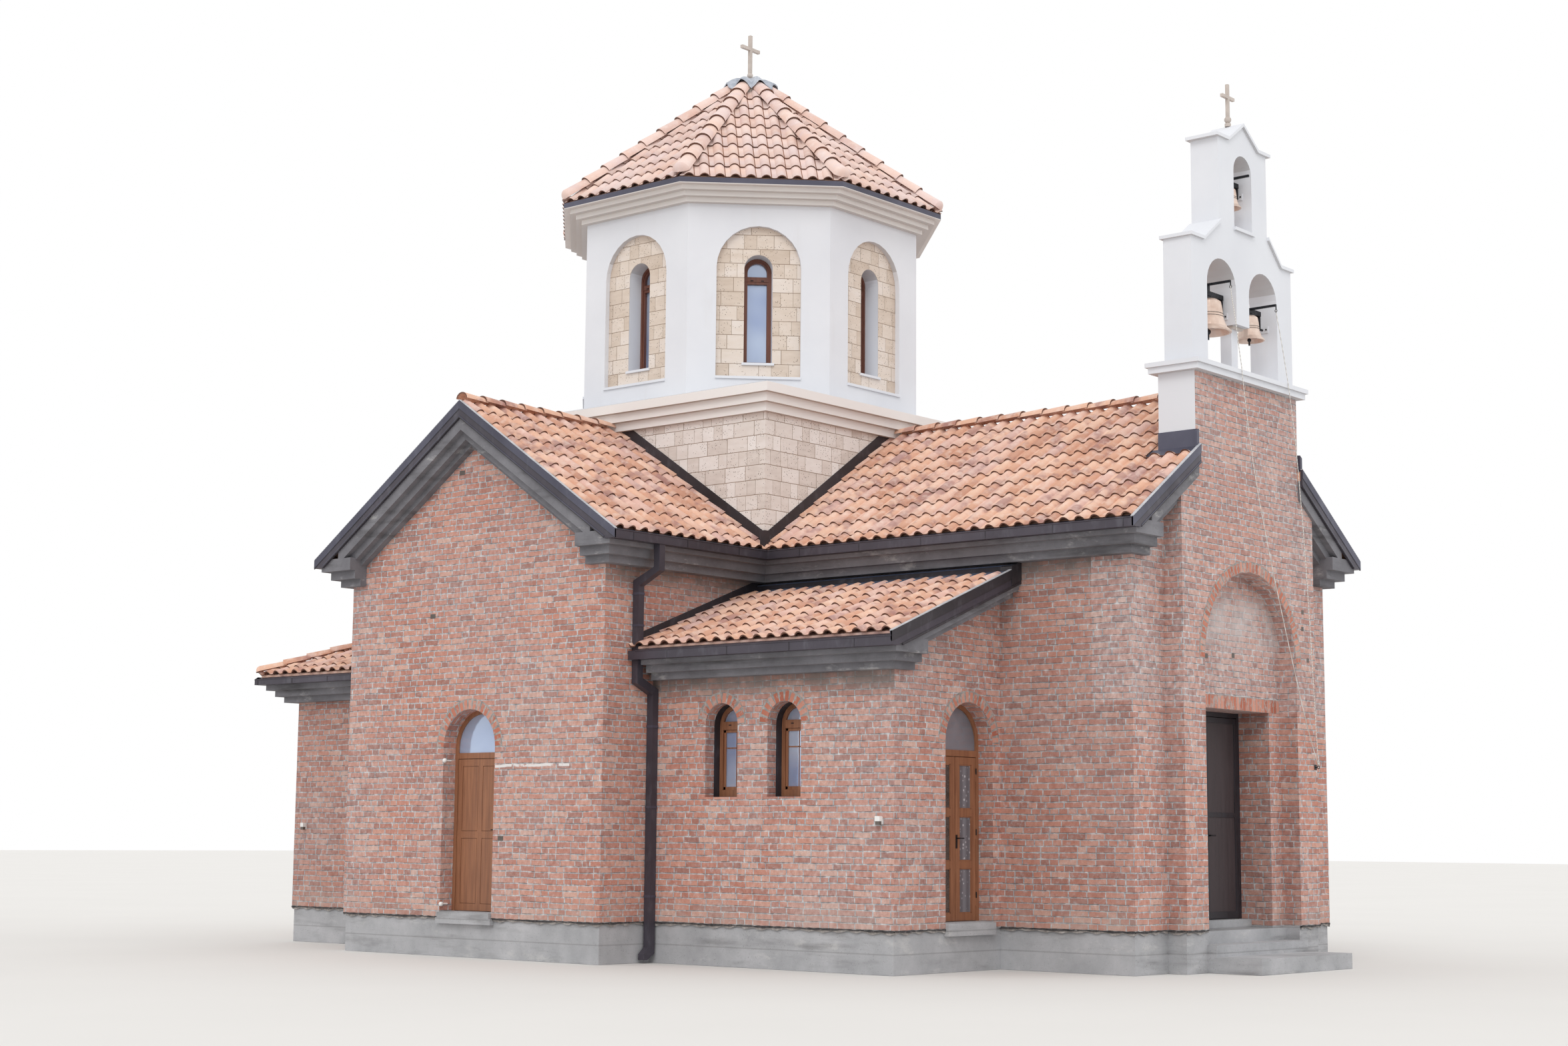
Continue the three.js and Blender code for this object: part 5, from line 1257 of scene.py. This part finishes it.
def flashings():
    """Strips where the roofs meet the stone base, the belfry and the walls."""
    dark = Shape()
    blue = Shape()
    for _, along, out, _, _, drop in arm_slopes():
        place = on_slope(UP * RIDGE, out, along, drop)
        dark.box((0.0, 0.0, BASE_HALF + 0.0005), (BASE_HALF + 0.008, 0.2, BASE_HALF + 0.009), place)
    for sx in (-1, 1):
        for sy in (-1, 1):
            post = on_wall((sx * BASE_HALF, sy * BASE_HALF, 0), BACK * sy, RIGHT * sx)
            dark.box((-0.03, EAVE_TOP + 0.01, -0.03), (0.05, 5.55, 0.05), post)
    reach = LEAN_FRONT + RAKE_OUT
    annex_rise = ANNEX_RISE + ANNEX_SLOPE * (ANNEX_SIDE + GUTTER_OUT - NAVE_HALF)
    lean_top = [(0.0005, 0.022), (0.0005, 0.0), (0.13, -0.02), (0.145, -0.006)]
    lean_foot = [(0.17, -0.09), (0.17, -0.079), (0.4, -0.135), (0.4, -0.15)]
    lean_fold = [(0.0, 0.0), (0.0, -0.06), (0.17, -0.1), (0.17, -0.078), (0.14, -0.02)]
    for out in (-RIGHT, RIGHT):
        lean_line = out * NAVE_HALF + UP * LEAN_RISE
        annex_line = out * NAVE_HALF + UP * annex_rise
        # the flashing's top and foot are blue with painted sky reflection
        wall = on_wall(lean_line, out, FORWARD)
        blue.prism(lean_top, TRANSEPT_HALF, reach, wall)
        dark.prism(lean_fold, TRANSEPT_HALF, reach, wall)
        blue.prism(lean_foot, TRANSEPT_HALF, reach - 0.02, wall)
        rake = on_slope(lean_line + FORWARD * TRANSEPT_HALF, out, FORWARD, LEAN_SLOPE)
        dark.box((0.0, 0.0, 0.0005), (LEAN_SIDE - NAVE_HALF + 0.38, 0.115, 0.006), rake)
        rake = on_slope(annex_line + BACK * TRANSEPT_HALF, out, BACK, ANNEX_SLOPE)
        dark.box((0.0, 0.0, 0.0005), (ANNEX_SIDE - NAVE_HALF + 0.38, 0.115, 0.006), rake)
        wall = on_wall(annex_line, BACK, out)
        dark.box((TRANSEPT_HALF, 0.0, 0.0005), (REAR_REACH - ANNEX_SIDE + NAVE_HALF, 0.11, 0.006), wall)
    dark.piece("roof_flashings", DARK_METAL, "sheet_metal")
    blue.piece("wall_flashings", SKY_REFLECTION_METAL, "sheet_metal")


def belfry_apron():
    """The upstand round the belfry's foot and the sheet that runs out under the tiles."""
    apron = Shape()
    drop = (RIDGE - EAVE_TOP) / (NAVE_HALF + GUTTER_OUT)
    foot = RIDGE - drop * BELFRY_HALF
    top = 6.52
    crest = 7.25
    crest_half = 0.17
    sheet = 0.007
    under_tiles = 1.6
    for side in (-1, 1):
        def roof(a, y, lift, side=side):
            return side * a, y, RIDGE - drop * a + lift

        inner, outer = sorted((side * BELFRY_HALF, side * (BELFRY_HALF + sheet)))
        apron.box((inner, PORCH_FACE - 0.02, foot - 0.03), (outer, BELFRY_BACK + sheet, top))
        apron.box((BELFRY_HALF, PORCH_FACE - 0.036, -0.03), (under_tiles, BELFRY_BACK + 0.1, -0.015), roof)
        corner = (BELFRY_HALF + 0.05, PORCH_FACE - 0.018, 0.19)
        apron.box((BELFRY_HALF, PORCH_FACE - 0.045, 0.0), corner, roof)
    outline = [
        (-BELFRY_HALF, foot - 0.02), (0.0, RIDGE - 0.01), (BELFRY_HALF, foot - 0.02),
        (BELFRY_HALF, top), (crest_half, crest), (-crest_half, crest), (-BELFRY_HALF, top),
    ]
    apron.prism(outline, BELFRY_BACK, BELFRY_BACK + sheet, on_wall((0, 0, 0), RIGHT, BACK))
    apron.piece("belfry_apron", METAL, "sheet_metal")


eave_strips()
verge_boards()
flashings()
belfry_apron()


# Brick arches and soldier courses
def arch_ring(bricks, bed, place, centre, spring, radius, count):
    """Bricks set on edge round an arch, in a bed of thick mortar."""
    length = 0.125
    half_brick = 0.028
    half = half_brick / radius
    steps = 36
    arc = [math.pi * i / steps for i in range(steps + 1)]
    bed.grid([
        [place(centre + r * math.cos(a), spring + r * math.sin(a), 0.0018) for a in arc]
        for r in (radius + 0.001, radius + length + 0.012)
    ], smooth=False)
    for i in range(count):
        middle = math.pi * (i + 0.5) / count
        long = length * (1.0 - 0.06 * ((i * 7) % 3))

        def wedge(a, b, o, middle=middle, long=long):
            r = radius + 0.002 + b * long
            turn = middle + a * half * (radius / r) ** 0.8
            return place(centre + r * math.cos(turn), spring + r * math.sin(turn), o)

        bricks.box((-1, 0, -0.01), (1, 1, 0.0035), wedge)


def brick_arches():
    bricks = Shape()
    bed = Shape()
    for side in (-1, 1):
        gable = on_wall((side * TRANSEPT_REACH, 0, 0), BACK, RIGHT * side)
        arch_ring(bricks, bed, gable, 0.0, TRANSEPT_DOOR_SPRING, TRANSEPT_DOOR_HALF, 21)
        room = on_wall((0, -LEAN_FRONT, 0), RIGHT * side, FORWARD)
        arch_ring(bricks, bed, room, LEAN_DOOR_X, LEAN_DOOR_SPRING, LEAN_DOOR_HALF, 20)
        wall = on_wall((side * LEAN_SIDE, 0, 0), BACK, RIGHT * side)
        for centre in WINDOW_CENTRES:
            arch_ring(bricks, bed, wall, centre, WINDOW_SPRING, WINDOW_HALF, 12)
    porch = on_wall((0, PORCH_FACE, 0), RIGHT, FORWARD)
    arch_ring(bricks, bed, porch, 0.0, RECESS_SPRING, RECESS_HALF, 49)
    half = RECESS_HALF - 0.01
    low = 3.172
    high = 3.335
    soldiers = 29
    for i in range(soldiers):
        x = -half + (i + 0.5) * 2 * half / soldiers
        bricks.box((x - 0.0325, RECESS_BACK - 0.0035, low), (x + 0.0325, RECESS_BACK + 0.01, high))
    bed.box((-half, RECESS_BACK - 0.0015, low - 0.001), (half, RECESS_BACK + 0.01, high + 0.007))
    bricks.piece("arch_bricks", BRICK_SINGLE, "brick", bevel=0.003)
    bed.piece("arch_mortar", MORTAR, "brick")


brick_arches()


# Windows and glazing
def drum_windows():
    """An arched frame with a transom and a casement in each window of the drum."""
    frames = Shape()
    vents = Shape()
    sills = Shape()
    half = 0.2
    low = 8.115
    spring = 9.467
    face = 2.095
    casement_top = 9.30
    transom_low = 9.335
    transom_high = 9.405
    niche_sill = 7.912
    front = DRUM_APOTHEM - face
    back = front - NICHE_DEPTH
    for i in range(8):
        out, along = turned(i * math.pi / 4)
        place = on_wall(out * face, along, -out)
        for inset, width, depth, rise in ((0.001, 0.036, 0.0, 0.001), (0.036, 0.026, 0.012, 0.036)):
            outer = arched(half - inset, low + rise, spring)
            inner = arched(half - inset - width, low + rise + width, spring)
            frames.band(place, outer, depth, inner, depth)
            frames.band(place, outer, depth + 0.05, inner, depth + 0.05)
            frames.band(place, inner, depth, inner, depth + 0.05)
        frames.box((-half + 0.03, transom_low, 0.006), (half - 0.03, transom_high, 0.05), place)
        frames.box((-half + 0.03, casement_top, 0.014), (half - 0.03, transom_low, 0.05), place)
        for u in (-0.075, 0.075):
            vents.box((u - 0.02, transom_low + 0.01, 0.002), (u + 0.02, transom_low + 0.023, 0.008), place)
        sills.box((-0.6, niche_sill - 0.038, -front - 0.022), (0.6, niche_sill, -back + 0.002), place)
        sill_half = half + 0.028
        sills.box((-sill_half, low - 0.032, -back - 0.03), (sill_half, low + 0.003, -back + 0.04), place)
    frames.piece("drum_window_frames", BROWN_TIMBER, "timber", bevel=0.002)
    sills.piece("drum_sills", RENDER, "render", bevel=0.003)
    vents.piece("drum_window_vents", IRON, "iron")


# A side window's opening light, then its sash bars as left, right, low, high and depth of the front
LIGHT_HALF = 0.2
LIGHT_LOW = 2.127
LIGHT_HIGH = 2.862
SASH_HALF = 0.165
SASH_LOW = 2.165
SASH_HIGH = 2.83
SASH_BARS = (
    (-LIGHT_HALF, -SASH_HALF, LIGHT_LOW, LIGHT_HIGH, 0.012),
    (SASH_HALF, LIGHT_HALF, LIGHT_LOW, LIGHT_HIGH, 0.012),
    (-LIGHT_HALF, LIGHT_HALF, LIGHT_LOW - 0.002, SASH_LOW, 0.012),
    (-LIGHT_HALF, LIGHT_HALF, SASH_HIGH, LIGHT_HIGH + 0.001, 0.012),
    (-SASH_HALF, SASH_HALF, 2.632, 2.648, 0.022),
    (-0.006, 0.006, SASH_LOW, SASH_HIGH, 0.022),
)


def side_glazing():
    """Glass over the fanlights and windows, and the windows' fine bars, vents and dark linings."""
    panes = Shape()
    bars = Shape()
    vents = Shape()
    lining = Shape()
    edge = DOOR_FRAME + 0.001
    transept_fan = arched(TRANSEPT_DOOR_HALF - edge, FANLIGHT_LOW, TRANSEPT_DOOR_SPRING)
    lean_fan = arched(LEAN_DOOR_HALF - edge, FANLIGHT_LOW, LEAN_DOOR_SPRING)
    low = [
        (-LIGHT_HALF, LIGHT_LOW), (LIGHT_HALF, LIGHT_LOW),
        (LIGHT_HALF, LIGHT_HIGH), (-LIGHT_HALF, LIGHT_HIGH),
    ]
    turns = [0.26 + i * 0.262 for i in range(11)]
    high = [(LIGHT_HALF * math.cos(a), WINDOW_SPRING + LIGHT_HALF * math.sin(a)) for a in turns]
    outer = arched(WINDOW_HALF - 0.0015, 2.0365, WINDOW_SPRING)
    inner = arched(WINDOW_HALF - 0.0075, 2.0425, WINDOW_SPRING)
    for side in (-1, 1):
        gable = on_wall((side * (TRANSEPT_REACH - FRAME_INSET), 0, 0), BACK, RIGHT * -side)
        panes.prism(transept_fan, 0.022, 0.0245, gable)
        room = on_wall((side * LEAN_DOOR_X, FRAME_INSET - LEAN_FRONT, 0), RIGHT * side, BACK)
        panes.look = 1
        panes.prism(lean_fan, 0.022, 0.0245, room)
        panes.look = 0
        for centre in WINDOW_CENTRES:
            wall = on_wall((side * (LEAN_SIDE - WINDOW_INSET), centre, 0), BACK, RIGHT * -side)
            for outline in (low, high):
                panes.prism(outline, 0.027, 0.0295, wall)
            for u0, u1, z0, z1, depth in SASH_BARS:
                bars.box((u0, z0, depth), (u1, z1, 0.03), wall)
            for u in (-0.09, 0.09):
                vents.box((u - 0.02, WINDOW_SPRING, -0.003), (u + 0.02, WINDOW_SPRING + 0.013, 0.003), wall)
            lining.band(wall, outer, -0.1, outer, 0.0)
            lining.band(wall, outer, -0.1, inner, -0.1)
            lining.band(wall, inner, -0.1, inner, 0.0)
    panes.piece("window_panes", (GLASS, GREY_GLASS), "glass")
    bars.piece("window_bars", TIMBER, "timber", bevel=0.002)
    vents.piece("window_vents", IRON, "iron")
    lining.piece("window_linings", DARK_METAL, "sheet_metal")


drum_windows()
side_glazing()


# Leaves: lace panes of the glazed doors, fields of the panelled ones
DOOR_LOW = FLOOR_TOP + 0.007
DOOR_HIGH = 2.53
STILE = 0.085
RAIL = 0.09
BEAD = 0.012
LEAN_LEAF_EDGE = LEAN_DOOR_HALF - DOOR_FRAME - LEAF_GAP


def panel_fields(x0, x1, columns, rows):
    """The sunk fields of a leaf as (left, right, low, high)."""
    width = (x1 - x0 - (columns + 1) * STILE) / columns
    height = (DOOR_HIGH - DOOR_LOW - (rows + 1) * RAIL) / rows
    for c in range(columns):
        for r in range(rows):
            x = x0 + STILE + c * (width + STILE)
            z = DOOR_LOW + RAIL + r * (height + RAIL)
            yield x, x + width, z, z + height


def handle(shape, place, plate, u, z, depths, tip, radius=0.008, sides=10):
    """A plate, a spindle out of it and a lever to the tip; depths are those of foot, end and lever."""
    shape.box(*plate, place)
    foot, end, lever = depths
    shape.rod(place(u, z, foot), place(u, z, end), radius, sides)
    shape.rod(place(u, z, lever), place(tip, z, lever), radius, sides)


def lean_door_leaves():
    """Lace or dim panes, their beads, the hinges and the handle of the glazed pair."""
    place = on_wall((-LEAN_DOOR_X, LEAF_INSET - LEAN_FRONT, 0), RIGHT, BACK)
    # the left leaf's dim panes are dark brown painted shade
    for side, name, curtain in ((-1, "left", DIM_PANE), (1, "right", LACE)):
        body = f"lean_leaf_{name}"
        curtains = Shape()
        beads = Shape()
        for x0, x1, z0, z1 in panel_fields(*sorted((side * 0.0045, side * LEAN_LEAF_EDGE)), 1, 3):
            curtains.box((x0, z0, 0.011), (x1, z1, 0.0138), place)
            for a0, a1, b0, b1 in (
                (x0, x0 + BEAD, z0, z1), (x1 - BEAD, x1, z0, z1),
                (x0, x1, z0, z0 + BEAD), (x0, x1, z1 - BEAD, z1),
            ):
                beads.box((a0, b0, 0.003), (a1, b1, 0.0135), place)
        curtains.piece(f"lean_door_panes_{name}", curtain, "glass", body)
        beads.piece(f"lean_door_beads_{name}", TIMBER, "timber", body, bevel=0.001)
        fittings = Shape()
        hinge = side * (LEAN_LEAF_EDGE + 0.0035)
        for z in (0.85, 1.6, 2.33):
            fittings.rod(place(hinge, z, -0.009), place(hinge, z + 0.07, -0.009), 0.0075, 10)
        if side > 0:
            plate = ((0.012, 1.44, -0.004), (0.045, 1.6, 0.001))
            handle(fittings, place, plate, 0.03, 1.56, (-0.003, -0.045, -0.04), 0.13)
        fittings.piece(f"lean_door_fittings_{name}", IRON, "iron", body)


def lean_right_panes():
    """Lace behind the glass of the closed doors on the right side."""
    curtains = Shape()
    place = on_wall((LEAN_DOOR_X, LEAF_INSET - LEAN_FRONT, 0), RIGHT, BACK)
    for edges in ((-LEAN_LEAF_EDGE, -0.0045), (0.0045, LEAN_LEAF_EDGE)):
        for x0, x1, z0, z1 in panel_fields(*edges, 1, 3):
            curtains.box((x0, z0, 0.011), (x1, z1, 0.0138), place)
    curtains.piece("lean_right_door_panes", LACE, "glass")


def transept_doors():
    """Flat fields in the panelled leaf and in its fixed twin, and their handles."""
    half = TRANSEPT_DOOR_HALF - DOOR_FRAME - LEAF_GAP
    for side, body, name in ((-1, "transept_leaf", "left"), (1, "building", "right")):
        fields = Shape()
        place = on_wall((side * (TRANSEPT_REACH - LEAF_INSET), 0, 0), BACK, RIGHT * -side)
        for x0, x1, z0, z1 in panel_fields(-half, half, 2, 2):
            fields.box((x0 + 0.006, z0 + 0.006, 0.002), (x1 - 0.006, z1 - 0.006, 0.0138), place)
        fields.piece(f"transept_door_fields_{name}", TIMBER, "timber", body)
        grip = Shape()
        plate = ((-half + 0.03, 1.5, -0.004), (-half + 0.065, 1.68, 0.001))
        handle(grip, place, plate, -half + 0.048, 1.62, (0.0, -0.05, -0.045), -half + 0.16)
        grip.piece(f"transept_door_handle_{name}", IRON, "iron", body, bevel=0.001)


def front_door():
    """Black borders and a mid rail on both plain leaves of the entrance."""
    low = 0.59
    high = 3.1
    near = 0.07
    far = 0.72
    for side, body, name in ((-1, "building", "fixed"), (1, "front_leaf", "opening")):
        border = Shape()
        place = on_wall((0, FRONT_LEAF_FACE, 0), RIGHT * side, BACK)
        for x0, x1, z0, z1 in (
            (0.008, near, low, high), (far, 0.784, low, high), (near, far, low, low + 0.085),
            (near, far, high - 0.07, high), (near, far, 1.848, 1.908),
        ):
            border.box((x0, z0, -0.008), (x1, z1, 0.002), place)
        border.piece(f"front_door_border_{name}", BLACK_TIMBER, "dark_timber", body, bevel=0.002)
        grip = Shape()
        plate = ((0.022, 1.44, -0.012), (0.056, 1.70, -0.006))
        handle(grip, place, plate, 0.039, 1.62, (-0.008, -0.055, -0.05), 0.15, radius=0.009, sides=12)
        grip.piece(f"front_door_handle_{name}", IRON, "iron", body, bevel=0.001)


lean_door_leaves()
lean_right_panes()
transept_doors()
front_door()


# Small fittings
def lamps():
    """Lamps beside the lean-to's windows and on the annex."""
    for x, y, z, name in ((-LEAN_SIDE, -6.064, 1.755, "lean"), (-ANNEX_SIDE, 4.849, 1.657, "annex")):
        lamp = Shape()
        lamp.box((x - 0.022, y - 0.03, z - 0.045), (x + 0.001, y + 0.03, z + 0.045))
        lamp.box((x - 0.075, y - 0.034, z - 0.01), (x - 0.02, y + 0.034, z + 0.05))
        lamp.look = 1
        lamp.box((x - 0.07, y - 0.028, z - 0.05), (x - 0.02, y + 0.028, z - 0.01))
        lamp.piece(f"lamp_{name}", (LAMP_WHITE, DARK_PAINT_AND_HOLE_SHADE), "render", bevel=0.004)


def wall_details():
    """Two white knobs at the transept's door, and dark patches of painted shade for the vent and putlog holes
    in the walls.
    """
    knobs = Shape()
    for z in (2.512, 0.663):
        knobs.ball((-TRANSEPT_REACH - 0.004, 0.458, z), 0.03)
        knobs.rod((-TRANSEPT_REACH + 0.02, 0.489, z), (-TRANSEPT_REACH + 0.002, 0.465, z), 0.008, 8)
        knobs.rod((-TRANSEPT_REACH + 0.02, 0.489, z), (-TRANSEPT_REACH + 0.13, 0.489, z), 0.012, 8)
    knobs.piece("door_knobs", LAMP_WHITE, "render")
    # dark patches painted where the holes' shade falls
    holes = Shape()
    for y, z in ((-0.633, 1.51), (0.771, 4.415), (0.268, 6.288)):
        holes.box((-TRANSEPT_REACH - 0.002, y - 0.05, z - 0.03), (-TRANSEPT_REACH + 0.01, y + 0.05, z + 0.03))
    for x, z in ((-0.676, 3.804), (-0.024, 3.846)):
        holes.box((x - 0.035, RECESS_BACK - 0.0015, z - 0.03), (x + 0.035, RECESS_BACK + 0.01, z + 0.03))
    for x, z in ((1.334, 4.481), (1.324, 4.265), (1.45, 3.868)):
        holes.box((x - 0.03, PORCH_FACE - 0.0015, z - 0.028), (x + 0.03, PORCH_FACE + 0.01, z + 0.028))
    holes.piece("wall_hole_shades", DARK_PAINT_AND_HOLE_SHADE, "brick")


# Runs of the damp course on the right side as x, y of both ends; the rear one spans both sides
FELT_RUNS = (
    (TRANSEPT_REACH, -TRANSEPT_HALF, TRANSEPT_REACH, TRANSEPT_HALF),
    (LEAN_SIDE, -TRANSEPT_HALF, TRANSEPT_REACH, -TRANSEPT_HALF),
    (ANNEX_SIDE, TRANSEPT_HALF, TRANSEPT_REACH, TRANSEPT_HALF),
    (LEAN_SIDE, -LEAN_FRONT, LEAN_SIDE, -TRANSEPT_HALF),
    (LEAN_DOOR_X + LEAN_DOOR_HALF, -LEAN_FRONT, LEAN_SIDE, -LEAN_FRONT),
    (ANNEX_SIDE, TRANSEPT_HALF, ANNEX_SIDE, REAR_REACH),
    (-ANNEX_SIDE, REAR_REACH, ANNEX_SIDE, REAR_REACH),
    (NAVE_HALF, -NAVE_REACH, NAVE_HALF, -LEAN_FRONT),
    (PORCH_HALF, -NAVE_REACH, NAVE_HALF, -NAVE_REACH),
    (PORCH_HALF, PORCH_FACE, PORCH_HALF, -NAVE_REACH),
    (RECESS_HALF, PORCH_FACE, PORCH_HALF, PORCH_FACE),
)
FELT_STEP = 0.035


def felt_strip(felt, lime, start, end, out, first, last, index):
    """One unbroken stretch of torn felt and the mortar that shows behind its edge."""
    length = (end - start).length
    steps = max(3, round((last - first) / FELT_STEP))
    tops = []
    lows = []
    backs = []
    for i in range(steps + 1):
        d = first + (last - first) * i / steps
        ripple = math.sin(d * 23.1 + index) * 0.5 + math.sin(d * 61.7 + 2 * index) * 0.3 + math.sin(d * 7.3)
        foot = PLINTH_TOP - 0.012 - 0.006 * ripple
        here = start + (end - start) * (d / length)
        bulge = 0.004 + 0.003 * math.sin(d * 37.0 + index)
        tops.append(here + out * bulge + UP * (PLINTH_TOP + 0.006 + 0.003 * math.sin(d * 41)))
        lows.append(here + out * (bulge + 0.002) + UP * foot)
        backs.append(here - out * 0.03 + UP * foot)
    felt.grid([tops, lows, backs], smooth=False)
    behind = [p - out * 0.012 for p in lows]
    hung = [p - UP * (0.02 + 0.01 * math.sin(n * 0.9 + index)) for n, p in enumerate(behind)]
    lime.grid([hung, behind], smooth=False)


def damp_course():
    """The torn felt strip between the plinth and the brick."""
    felt = Shape()
    lime = Shape()
    index = 0
    for x0, y0, x1, y1 in FELT_RUNS:
        for side in (-1, 1) if x0 > 0 else (1,):
            start, end = (Vector((*p, 0)) for p in sorted(((side * x0, y0), (side * x1, y1))))
            out = RIGHT * side if x0 == x1 else Vector((0, math.copysign(1, y0), 0))
            length = (end - start).length
            spans = ((0.0, length),)
            if x0 == x1 == TRANSEPT_REACH:
                spans = (
                    (0.0, TRANSEPT_HALF - TRANSEPT_DOOR_HALF),
                    (TRANSEPT_HALF + TRANSEPT_DOOR_HALF, length),
                )
            for first, last in spans:
                felt_strip(felt, lime, start, end, out, first, last, index)
            index += 1
    felt.piece("damp_course", BITUMEN, "concrete")
    lime.piece("plinth_mortar", MORTAR, "concrete")


def pipe_clips():
    """Bands that hold the square downpipes."""
    clips = Shape()
    near = TRANSEPT_HALF + 0.006
    far = near + 0.106
    for sx in (-1, 1):
        for sy, face, levels in ((-1, LEAN_SIDE, (4.15, 4.55)), (1, ANNEX_SIDE, (4.1, 4.5))):
            def place(x, y, z, sx=sx, sy=sy):
                return sx * x, sy * y, z

            for z in levels:
                clips.box((face + 0.289, near, z), (face + 0.397, far, z + 0.03), place)
            for z in (0.8, 1.9, 2.9):
                clips.box((face + 0.008, near, z), (face + 0.114, far, z + 0.03), place)
    clips.piece("pipe_clips", METAL, "sheet_metal")


# Each bell: name, x, radius and rim and crown heights, half width of its bay and height of its plates
BELLS = (
    ("left", -0.526, 0.3, 7.87, 8.29, 0.345, 8.13),
    ("right", 0.519, 0.2, 7.94, 8.265, 0.345, 8.14),
    ("top", 0.045, 0.165, 9.59, 9.853, 0.21, 9.78),
)


def bell_details():
    """The impost slab under the arches, bolts on the bells' plates and lines round the bells."""
    slab = Shape()
    slab.box((-0.13, BELL_Y - 0.13, 7.985), (0.13, BELL_Y + 0.13, 8.017))
    slab.piece("impost_slab", CROSS_PAINT, "travertine", bevel=0.004)
    bolts = Shape()
    for _, x, _, _, _, half, z in BELLS:
        for side in (-1, 1):
            for y in (BELL_Y - 0.058, BELL_Y + 0.058):
                bolts.rod((x + side * half, y, z), (x + side * (half - 0.012), y, z), 0.011, 6)
    bolts.piece("bell_plate_bolts", IRON, "iron")
    for name, x, radius, rim, crown, _, _ in BELLS:
        lines = Shape()
        for share in (0.47, 0.55):
            girth = radius * (0.67 - 0.05 * (share - 0.4) / 0.32)
            lines.ring((x, BELL_Y, rim + share * (crown - rim)), UP, girth + 0.0005, 0.0035, 40, 6)
        lines.piece(f"bell_lines_{name}", DARK_PAINT_AND_HOLE_SHADE, "bronze", f"bell_{name}")


lamps()
wall_details()
damp_course()
pipe_clips()
bell_details()


# Floor, light and sky
def stage():
    mesh = bpy.data.meshes.new("floor")
    far = 150.0
    corners = [(-far, -far, 0), (far, -far, 0), (far, far, 0), (-far, far, 0)]
    mesh.from_pydata(corners, [], [(0, 1, 2, 3)])
    floor = add_object("floor", mesh)
    floor.location.z = -0.002
    g = Graph("pale_floor")
    mesh.materials.append(g.finish(g.clouds(g.noise(0.3), "dad8d5", "dcdad7"), 0.9))
    floor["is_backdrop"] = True


def light(name, energy, size_degrees, direction, colour):
    data = bpy.data.lights.new(name, "SUN")
    data.energy = energy
    data.angle = math.radians(size_degrees)
    data.color = colour
    lamp = add_object(name, data)
    lamp.rotation_euler = Vector(direction).to_track_quat("-Z", "Y").to_euler()


def sky():
    world = bpy.data.worlds.new("studio")
    bpy.context.scene.world = world
    world.use_nodes = True
    background = world.node_tree.nodes["Background"]
    background.inputs["Color"].default_value = (1.0, 1.0, 1.0, 1.0)
    background.inputs["Strength"].default_value = 1.0


stage()
light("key", 0.8, 30, (0.75, 0.45, -0.8), (1.0, 0.99, 0.97))
light("fill", 0.2, 60, (-0.5, 0.6, -0.4), (0.95, 0.97, 1.0))
sky()

boxes = {"cad": cad_box, "visual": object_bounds()}
{name: [list(corner) for corner in box] for name, box in boxes.items()}
